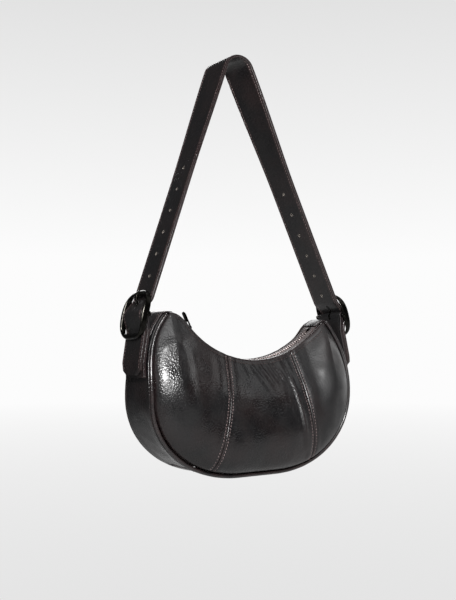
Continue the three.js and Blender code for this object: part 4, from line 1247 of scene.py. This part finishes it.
pull_forward = forward * math.cos(PULL_TURN) + up * math.sin(PULL_TURN)
pull_up = up * math.cos(PULL_TURN) - forward * math.sin(PULL_TURN)
bm = bmesh.new()
rings = []
for turn in turns(LOOP_STEPS):
    c, s = math.cos(turn), math.sin(turn)
    far = LOOP_FAR / 2 + signed_power(c, 0.45) * LOOP_FAR / 2
    across = signed_power(s, 0.45) * (PULL_WIDTH / 2 - LOOP_HALF_SIDE)
    out = (pull_forward * c + ACROSS * s).normalized()
    rings.append(rounded_section(hinge + pull_forward * far + ACROSS * across, out, pull_up,
                                 LOOP_HALF_SIDE, PULL_HALF_THICKNESS))
tube(bm, rings, closed=True)
plate = []
for k in range(PLATE_STEPS + 1):
    far = lerp(LOOP_FAR - 0.4, PLATE_FAR, k / PLATE_STEPS)
    left = PLATE_FAR - far
    half = PULL_WIDTH / 2 * math.sqrt(clamp(1 - (1 - clamp(left / TIP_LENGTH)) ** 2)) + 0.02
    plate.append(rounded_section(hinge + pull_forward * far, ACROSS, pull_up, half,
                                 PULL_HALF_THICKNESS * (0.6 + 0.4 * clamp(left / 0.6)), 16))
tube(bm, plate)
finish_piece("zip_pull_tab", bm, "gunmetal", "zip_pull", "zip_pull")
print("pull", PULL_LENGTH, "mm long")

# %% [markdown]
# ## Leather strips
#
# Strap, chapes and zip end tabs are cut strips: flat, with burnished round edges and a shallow groove that the
# stitches lie in. One function sweeps such a section along a path in the x-z plane. Holes are punched with a
# Boolean modifier that is applied at once, because a punched edge is sharp and round.

# %% Strip and punch
GROOVE_FROM_EDGE = 3.0
GROOVE_HALF_WIDTH = 0.6
GROOVE_DEPTH = 0.3


def strip_section(half_width, low, high):
    """Ring of (y, height) pairs: a flat back at low and a crowned face at high with round edges."""
    thick = abs(high - low)
    sign = math.copysign(1, high - low)
    rim = [(0.0, 0.55 * thick), (0.18, 0.26 * thick), (0.55, 0.06 * thick), (1.2, 0.0),
           (GROOVE_FROM_EDGE - GROOVE_HALF_WIDTH, 0.0), (GROOVE_FROM_EDGE, GROOVE_DEPTH),
           (GROOVE_FROM_EDGE + GROOVE_HALF_WIDTH, 0.0), (GROOVE_FROM_EDGE + 3.0, -0.06),
           (0.55 * half_width, -0.12)]
    face = [(-half_width + edge, high - sign * drop) for edge, drop in rim]
    face += [(0.0, high + sign * 0.14)] + [(-y, height) for y, height in reversed(face)]
    back = [(half_width - 0.1, low + sign * 0.12), (half_width - 0.5, low)]
    return face + back + [(-y, height) for y, height in reversed(back)]


def strip_stations(path, half_widths):
    """Point, normal and half width at each point of a strip's path."""
    return list(zip(path, normals(path), half_widths))


def leather_strip(bm, stations, low, high):
    rings = []
    for (x, z), (nx, nz), half in stations:
        section = strip_section(half, low, high)
        rings.append([Vector((x + nx * height, y, z + nz * height)) for y, height in section])
    tube(bm, rings)


def strip_stitches(bm, stations, height, radius=FINE_THREAD_RADIUS):
    """A row in the groove along each edge of a strip, at a height over its path."""
    ups = [Vector((nx, 0, nz)) * math.copysign(1, height) for _, (nx, nz), _ in stations]
    for edge in (-1, 1):
        row = [Vector((x + nx * height, edge * (half - GROOVE_FROM_EDGE), z + nz * height))
               for (x, z), (nx, nz), half in stations]
        stitch_row(bm, row, ups, radius)


def wear_at_edges(bm, half_width, band=0.0):
    """Wear along both edges of a strip, full over a band and fading inside it."""
    worn = bm.verts.layers.float.new("wear")
    for vert in bm.verts:
        from_edge = half_width - abs(vert.co.y / MM)
        vert[worn] = 0.9 * math.exp(-max(from_edge - band, 0.0) / 0.9)


def punch(piece, cutter_bm):
    """Cuts the shapes of a bmesh out of a piece."""
    mesh = bpy.data.meshes.new("punch")
    cutter_bm.to_mesh(mesh)
    cutter_bm.free()
    cutter = bpy.data.objects.new("punch", mesh)
    scene.collection.objects.link(cutter)
    cut = piece.modifiers.new("punch", "BOOLEAN")
    cut.operation = "DIFFERENCE"
    cut.solver = "EXACT"
    cut.object = cutter
    bpy.context.view_layer.update()
    shaped = bpy.data.meshes.new_from_object(piece.evaluated_get(bpy.context.evaluated_depsgraph_get()))
    piece.modifiers.remove(cut)
    old = piece.data
    piece.data = shaped
    shaped.name = piece.name
    shaped.set_sharp_from_angle(angle=SHARP_ANGLE)
    bpy.data.objects.remove(cutter)
    bpy.data.meshes.remove(mesh)
    bpy.data.meshes.remove(old)


print("strip section of", len(strip_section(20.0, 0.0, 1.5)), "points")

# %% [markdown]
# ## Strap
#
# Two plies of leather are sewn face to face. From each tail the strap runs up behind the buckle's lower end,
# over the bar, behind the upper end and up the leg to the crest. It leans back a little as it hangs, and its
# legs twist as they near the crest. The path is rounded where a real strap bends, and stations are kept only
# where it turns. The punched holes have pale rims on both faces: partly the raw leather of a punched edge,
# partly a painted highlight that stands in for the lit walls of the holes.

# %% Path of the strap
BUCKLE_X = 126.0
BUCKLE_Z = 170.0
FRAME_LEAN = math.radians(15)
BAR_BACK = 0.8
STRAP_BEHIND = 3.35
STRAP_PASS = 16.0
STRAP_OVER_BAR = 5.75
CREST = (-6.0, 437.0)
CREST_RADIUS = 16.0
TAIL_X = 132.75
TAIL_Z = 109.0
CHAPE_BEND_Z = 122.0
SWING_Z = 118.0
LEAN_BACK = math.radians(3.5)
STRAP_TWIST = {-1: math.radians(6), 1: math.radians(12)}
TWIST_FROM_Z = 310.0
TWIST_SPAN = 22.0
STRAP_HALF_WIDTH = 20.5
STRAP_STEP = 1.2
STRAP_STATION_TURN = math.radians(3)
STRAP_STATION_STEP = 7.0


def buckle_point(up, out):
    """Place on the right buckle, up its frame and out of its face, as x and z."""
    x = BUCKLE_X - up * math.sin(FRAME_LEAN) + out * math.cos(FRAME_LEAN)
    return x, BUCKLE_Z + up * math.cos(FRAME_LEAN) + out * math.sin(FRAME_LEAN)


def arc(centre, radius, start, end, steps):
    angles = [lerp(start, end, i / steps) for i in range(steps + 1)]
    return [(centre[0] + radius * math.cos(t), centre[1] + radius * math.sin(t)) for t in angles]


def rounded(path, step, rounds):
    """The path with its corners rounded, by averaging neighbours on an even spacing."""
    fine = resampled(path, step)
    for _ in range(rounds):
        threes = zip(fine, fine[1:], fine[2:])
        inner = [tuple((a[k] + 2 * b[k] + c[k]) / 4 for k in (0, 1)) for a, b, c in threes]
        fine = [fine[0], *inner, fine[-1]]
    return fine


def thinned(path, angle, distance):
    """The path without the points between which it hardly turns."""
    kept = [path[0]]
    heading = None
    for here, after in zip(path[1:], path[2:]):
        turn = math.atan2(after[1] - here[1], after[0] - here[0])
        if heading is None:
            heading = turn
        drift = abs((turn - heading + math.pi) % (2 * math.pi) - math.pi)
        if drift > angle or math.dist(here, kept[-1]) > distance:
            kept.append(here)
            heading = turn
    return kept + [path[-1]]


bar = buckle_point(0, -BAR_BACK)
leg_foot = buckle_point(STRAP_PASS, -STRAP_BEHIND)
pass_depth = STRAP_BEHIND - BAR_BACK
wrap = math.atan2(pass_depth, STRAP_PASS) + math.asin(STRAP_OVER_BAR / math.hypot(STRAP_PASS, pass_depth))
leg_lean = {}
for side in (-1, 1):
    across, rise = leg_foot[0] - side * CREST[0], CREST[1] - leg_foot[1]
    leg_lean[side] = math.atan2(across, rise) - math.asin(CREST_RADIUS / math.hypot(across, rise))
leg = [(TAIL_X, TAIL_Z), (TAIL_X, CHAPE_BEND_Z), buckle_point(-STRAP_PASS, -STRAP_BEHIND),
       *arc(bar, STRAP_OVER_BAR, FRAME_LEAN - wrap, FRAME_LEAN + wrap, 12), leg_foot]
over_crest = arc(CREST, CREST_RADIUS, leg_lean[1], math.pi - leg_lean[-1], 24)
strap_line = rounded(leg + over_crest + mirrored(leg), STRAP_STEP, 4)
strap_path = thinned(strap_line, STRAP_STATION_TURN, STRAP_STATION_STEP)


def twist_strap(bm):
    """Turns each leg about its own line on its way up to the crest."""
    for vert in bm.verts:
        x, y, z = vert.co / MM
        on_right = ease((x - CREST[0] + TWIST_SPAN / 2) / TWIST_SPAN)
        full = lerp(STRAP_TWIST[-1], STRAP_TWIST[1], on_right)
        turn = full * ease((z - TWIST_FROM_Z) / (CREST[1] - TWIST_FROM_Z))
        vert.co = Vector((x - y * math.sin(turn), y * math.cos(turn), z)) * MM


lean_back = (Matrix.Translation((0, 0, SWING_Z * MM)) @ Matrix.Rotation(-LEAN_BACK, 4, "X")
             @ Matrix.Translation((0, 0, -SWING_Z * MM)))
print("strap of", round(lengths(strap_path)[-1]), "mm in", len(strap_path), "stations")

# %% Strap plies with punched holes
TAIL_TIP = 8.0
TAIL_TIP_HALF_WIDTH = 12.0
PLY_GAP = 0.1
PLY_FACE = 1.55
HOLE_RADIUS = 1.7
HOLE_PITCH = 25.0
FIRST_HOLE = {-1: 26.8, 1: 10.0}
HOLES_EACH_SIDE = 6
SLOT_LOW = 2.8
SLOT_HIGH = 12.8
SLOT_WIDTH = 3.4

strap_run = lengths(strap_path)


def strap_half_width(distance):
    from_tip = min(distance, strap_run[-1] - distance)
    share = clamp(from_tip / TAIL_TIP)
    return lerp(TAIL_TIP_HALF_WIDTH, STRAP_HALF_WIDTH, math.sin(share * math.pi / 2) ** 0.85)


strap_stations = strip_stations(strap_path, [strap_half_width(distance) for distance in strap_run])
hole_places = []
for side, first in FIRST_HOLE.items():
    lean = leg_lean[side]
    for k in range(HOLES_EACH_SIDE):
        up = first + k * HOLE_PITCH
        spot = Vector((side * (leg_foot[0] - up * math.sin(lean)), 0, leg_foot[1] + up * math.cos(lean)))
        facing = Vector((side * math.cos(lean), 0, math.sin(lean))).to_track_quat("Z", "Y")
        hole_places.append(Matrix.Translation(spot * MM) @ facing.to_matrix().to_4x4())


def strap_cutters():
    cutters = bmesh.new()
    for place in hole_places:
        bmesh.ops.create_cone(cutters, cap_ends=True, segments=20, radius1=HOLE_RADIUS * MM,
                              radius2=HOLE_RADIUS * MM, depth=9 * MM, matrix=place)
    for side in FIRST_HOLE:
        x, z = buckle_point((SLOT_LOW + SLOT_HIGH) / 2, 0)
        tilt = Matrix.Rotation(-side * FRAME_LEAN, 4, "Y")
        rounded_block(cutters, (20.0, SLOT_WIDTH, SLOT_HIGH - SLOT_LOW), 1.2,
                      Matrix.Translation(Vector((side * x, 0, z)) * MM) @ tilt, 3)
    bmesh.ops.transform(cutters, matrix=lean_back, verts=cutters.verts)
    return cutters


for name, low, high, finish in (("strap_outer", PLY_GAP, PLY_FACE, "leather"),
                                ("strap_backing", -PLY_GAP, -PLY_FACE, "trim_leather")):
    bm = bmesh.new()
    leather_strip(bm, strap_stations, low, high)
    wear_at_edges(bm, STRAP_HALF_WIDTH, GROOVE_FROM_EDGE + GROOVE_HALF_WIDTH)
    twist_strap(bm)
    ply = finish_piece(name + "_leather", bm, finish, None, name, place=lean_back)
    punch(ply, strap_cutters())
    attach(ply, "strap")
    print(name, len(ply.data.polygons), "faces")

# %% Rims of the holes: raw leather and painted highlight
HOLE_RIM = 0.28
RIM_STEPS = 12

# Painted highlight: pale rings on both faces of every hole, partly the raw leather of the punched edge and
# partly a stand-in for the light on the holes' walls.
bm = bmesh.new()
for place in hole_places:
    for height in (PLY_FACE, -PLY_FACE):
        rings = []
        for turn in turns(RIM_STEPS):
            out = Vector((math.cos(turn), math.sin(turn), 0))
            middle = out * (HOLE_RADIUS - 0.1) + Vector((0, 0, height))
            ring = [middle + out * HOLE_RIM * c + Vector((0, 0, HOLE_RIM * d))
                    for c, d in ((1, 0), (0, 1), (-1, 0), (0, -1))]
            rings.append([place @ (corner * MM) / MM for corner in ring])
        tube(bm, rings, closed=True)
finish_piece("strap_hole_rims_painted_pale", bm, "raw_edge_painted_pale", "strap", place=lean_back)
print("rims on both faces of", len(hole_places), "holes")

# %% Strap stitches
STRAP_STITCH_HEIGHT = PLY_FACE - 0.22

bm = bmesh.new()
for height in (STRAP_STITCH_HEIGHT, -STRAP_STITCH_HEIGHT):
    strip_stitches(bm, strap_stations[1:-1], height)
twist_strap(bm)
count = len(bm.verts) // 12
finish_piece("strap_stitches", bm, "thread", "strap", place=lean_back)
print("strap:", count, "stitches in four rows")

# %% [markdown]
# ## Buckles
#
# Each buckle is a heavy oval frame with a flat back and a front bowed outwards, so that its side arms are
# deep. A bar crosses its middle, held in two lugs, and a prong turns on the bar. The frame is a rounded
# section swept round the oval and closed on itself.

# %% Buckle frames, bars and prongs
FRAME_HALF_HEIGHT = 26.0
FRAME_BOW = 5.0
FRAME_THICKNESS = 3.0
FRAME_OUTER = 24.7
FRAME_INNER = 21.1
WINDOW_HALF_HEIGHT = 20.0
BAR_RADIUS = 1.6
BAR_MIDDLE = Vector((-BAR_BACK, 0, 0))
LUG_RADIUS = 2.9
LUG_LENGTH = 3.2
LUG_FROM_WINDOW = 1.8
METAL_BEVEL = 0.5
FRAME_STEPS = 112
SECTION_STEPS = 16
EYE_BORE = 1.9
EYE_OUTER = 3.3
EYE_WIDTH = 4.0
EYE_STEPS = 28
PRONG_RADIUS = 1.1
PRONG_STEPS = 24
PRONG_BEND = 0.758
PRONG_TIP = 0.9


def buckle_matrix(side):
    place = Matrix.Translation(Vector((BUCKLE_X, 0, BUCKLE_Z)) * MM) @ Matrix.Rotation(-FRAME_LEAN, 4, "Y")
    turned = place if side > 0 else Matrix.Rotation(math.pi, 4, "Z") @ place
    return lean_back @ turned


def bow(up):
    return FRAME_BOW * (1 - (up / FRAME_HALF_HEIGHT) ** 2)


def oval_point(turn, half_width, half_height, top_power, bottom_power):
    power = 2 / (top_power if math.sin(turn) > 0 else bottom_power)
    return half_width * signed_power(math.cos(turn), power), half_height * signed_power(math.sin(turn), power)


def buckle_ring(bm):
    rings = []
    for turn in turns(FRAME_STEPS):
        outer = oval_point(turn, FRAME_OUTER, FRAME_HALF_HEIGHT, 2.6, 3.4)
        inner = oval_point(turn, FRAME_INNER, WINDOW_HALF_HEIGHT, 8.0, 8.0)
        ring = []
        for face_turn in turns(SECTION_STEPS, 0.5):
            share = 0.5 + 0.5 * signed_power(math.cos(face_turn), 0.6)
            rise = 0.5 + 0.5 * signed_power(math.sin(face_turn), 0.8)
            across, up = (lerp(inner[n], outer[n], share) for n in (0, 1))
            ring.append(Vector((lerp(0, bow(up) + FRAME_THICKNESS, rise) - FRAME_THICKNESS / 2, across, up)))
        rings.append(ring)
    tube(bm, rings, closed=True)


def round_bar(bm, radius, length, centre):
    """A round bar along Y with softened ends, in millimetres."""
    made = bmesh.ops.create_cone(bm, cap_ends=True, segments=20, radius1=radius * MM, radius2=radius * MM,
                                 depth=length * MM)["verts"]
    rims = [edge for edge in edges_of(made) if abs(edge.verts[0].co.z - edge.verts[1].co.z) < 1e-7]
    softened = soften(bm, rims, METAL_BEVEL, 3)
    verts = list(dict.fromkeys([vert for vert in made if vert.is_valid] + softened))
    turn = Matrix.Translation(centre * MM) @ Matrix.Rotation(math.pi / 2, 4, "X")
    bmesh.ops.transform(bm, matrix=turn, verts=verts)


def eye_ring(bm):
    """A rounded ring round the bar."""
    rings = []
    for turn in turns(EYE_STEPS):
        out = Vector((math.cos(turn), 0, math.sin(turn)))
        middle = BAR_MIDDLE + out * (EYE_BORE + EYE_OUTER) / 2
        rings.append(rounded_section(middle, out, ACROSS, (EYE_OUTER - EYE_BORE) / 2, EYE_WIDTH / 2))
    tube(bm, rings, closed=True)


def prong_pin(bm):
    def on_frame(up):
        return bow(up) + FRAME_THICKNESS / 2 + 0.3 + PRONG_RADIUS

    root = Vector((-BAR_BACK, 0, 2.6))
    knee, tip = Vector((on_frame(20), 0, 20.0)), Vector((on_frame(26), 0, 25.6))
    across_pin = Vector((1, 0, -0.25)).normalized()
    rings = []
    for share in (k / PRONG_STEPS for k in range(PRONG_STEPS + 1)):
        if share < PRONG_BEND:
            near = root.lerp(knee, share * 1.32)
        else:
            near = knee.lerp(tip, (share - PRONG_BEND) / (1 - PRONG_BEND))
        spot = near + Vector((0.9 * math.sin(math.pi * clamp(share / PRONG_BEND)), 0, 0))
        narrowed = math.sqrt(clamp(1 - ((share - PRONG_TIP) / 0.104) ** 2)) if share >= PRONG_TIP else 1.0
        radius = PRONG_RADIUS * narrowed
        rings.append(rounded_section(spot, across_pin, ACROSS, radius, radius * 1.05))
    tube(bm, rings)


for name, side in SIDES.items():
    place = buckle_matrix(side)
    bm = bmesh.new()
    buckle_ring(bm)
    for end in (-1, 1):
        round_bar(bm, LUG_RADIUS, LUG_LENGTH, BAR_MIDDLE + ACROSS * end * (FRAME_INNER + LUG_FROM_WINDOW))
    finish_piece(f"{name}_buckle_oval", bm, "gunmetal", "strap", f"{name}_buckle_frame", place=place)
    bm = bmesh.new()
    round_bar(bm, BAR_RADIUS, 2 * FRAME_OUTER, BAR_MIDDLE)
    finish_piece(f"{name}_buckle_crossbar", bm, "gunmetal", "strap", f"{name}_buckle_bar", place=place)
    bm = bmesh.new()
    eye_ring(bm)
    prong_pin(bm)
    finish_piece(f"{name}_prong_pin", bm, "gunmetal", f"{name}_prong", f"{name}_prong", place=place)
print("buckles:", 2 * FRAME_OUTER, "by", 2 * FRAME_HALF_HEIGHT, "mm")

# %% [markdown]
# ## Chapes
#
# A chape is a strip folded round the buckle's bar and sewn flat to the end of the gusset. It is swept in one
# piece down the outside, round the bar and down the inside.

# %% Chapes
CHAPE_LOW_Z = 106.0
CHAPE_MIDDLE_X = 129.1
CHAPE_BEHIND = 7.0
CHAPE_HALF_PLY = 0.85
CHAPE_HALF_WIDTH = STRAP_HALF_WIDTH - 0.2
CHAPE_FACE = CHAPE_HALF_PLY - 0.05
CHAPE_TURN = math.radians(150)
CHAPE_SEWN_Z = 150.0
EYE_MIDDLE = 2.85
PRONG_SLOT = (18.0, 5.2, 8.4)
BEND_LOW = (0.129, 0.108)

chape_line = [(CHAPE_MIDDLE_X, CHAPE_LOW_Z), (CHAPE_MIDDLE_X, CHAPE_BEND_Z),
              buckle_point(-STRAP_PASS, -CHAPE_BEHIND)]
heading = math.atan2(bar[1] - chape_line[2][1], bar[0] - chape_line[2][0])
around = arc(bar, EYE_MIDDLE, heading - CHAPE_TURN, heading + CHAPE_TURN, 20)
outside = offset(chape_line, CHAPE_HALF_PLY)
inside = offset(chape_line, -CHAPE_HALF_PLY)
chape_path = thinned(rounded(outside + around + inside[::-1], 0.9, 2), math.radians(5), 5.0)

for name, side in SIDES.items():
    path = chape_path if side > 0 else mirrored(chape_path)
    stations = strip_stations(path, [CHAPE_HALF_WIDTH] * len(path))
    bm = bmesh.new()
    leather_strip(bm, stations, -CHAPE_FACE, CHAPE_FACE)
    wear_at_edges(bm, CHAPE_HALF_WIDTH)
    piece = finish_piece(f"{name}_chape_leather", bm, "leather", None, f"{name}_chape", place=lean_back)
    slot = bmesh.new()
    rounded_block(slot, PRONG_SLOT, 0.8,
                  lean_back @ Matrix.Translation(Vector((side * bar[0], 0, bar[1])) * MM), 2)
    punch(piece, slot)
    low = lean_back @ Vector((side * BEND_LOW[0], 0, BEND_LOW[1]))
    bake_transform(piece)
    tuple(low)
    bm = bmesh.new()
    sewn = [(p, n, half) for p, n, half in stations if p[1] < CHAPE_SEWN_Z and n[0] * side > 0.5]
    strip_stitches(bm, sewn, 0.6, THREAD_RADIUS)
    foot_x, foot_z = CHAPE_MIDDLE_X + 1.5, CHAPE_LOW_Z + 2.4
    foot = [Vector((side * foot_x, lerp(-15, 15, i / 20), foot_z)) for i in range(21)]
    stitch_row(bm, foot, [Vector((side, 0, 0))] * len(foot))
    threads = finish_piece(f"{name}_chape_stitches", bm, "dark_thread", None, place=lean_back)
    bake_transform(threads)
    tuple(low)
print("chapes of", round(lengths(chape_path)[-1]), "mm folded round the bars")

# %% [markdown]
# ## Zip end tabs
#
# A leather tab is folded over each end of the zip and down over the gusset's end. It hides the tape's cut
# ends. Its border is stitched, and its edges stand proud enough to draw a light line.

# %% Zip end tabs
END_TAB_X = 92.1
END_TAB_WRAP = 26.0
END_TAB_HALF_WIDTH = 12.0
END_TAB_FACE = 1.6
END_TAB_CORNER = 3.0
END_TAB_STITCH_HEIGHT = 1.42

for name, side in SIDES.items():
    fold_low = 1 - END_TAB_WRAP / (HORN_Z[side] - WIDEST_Z)
    on_gusset = offset([side_point(side, lerp(fold_low, 1, i / 12)) for i in range(13)], 0.3)
    on_zip = offset(unsided(lip_path(side * HORN_X, side * END_TAB_X, 8)), -0.45)
    tab_path = rounded(on_gusset + on_zip[1:], 1.0, 2)
    tab_run = lengths(tab_path)
    ends = [clamp(min(d, tab_run[-1] - d) / END_TAB_CORNER) for d in tab_run]
    widths = [END_TAB_HALF_WIDTH - 2.0 * (1 - math.sin(end * math.pi / 2)) for end in ends]
    stations = strip_stations(tab_path if side > 0 else mirrored(tab_path), widths)
    bm = bmesh.new()
    leather_strip(bm, stations, 0.05, END_TAB_FACE)
    wear_at_edges(bm, END_TAB_HALF_WIDTH)
    finish_piece(f"zip_end_tab_{name}_leather", bm, "leather", "bag", f"zip_end_tab_{name}")
    bm = bmesh.new()
    strip_stitches(bm, stations[2:-2], END_TAB_STITCH_HEIGHT)
    finish_piece(f"zip_end_tab_{name}_stitches", bm, "thread", "bag")
print("end tabs", round(tab_run[-1]), "mm long")
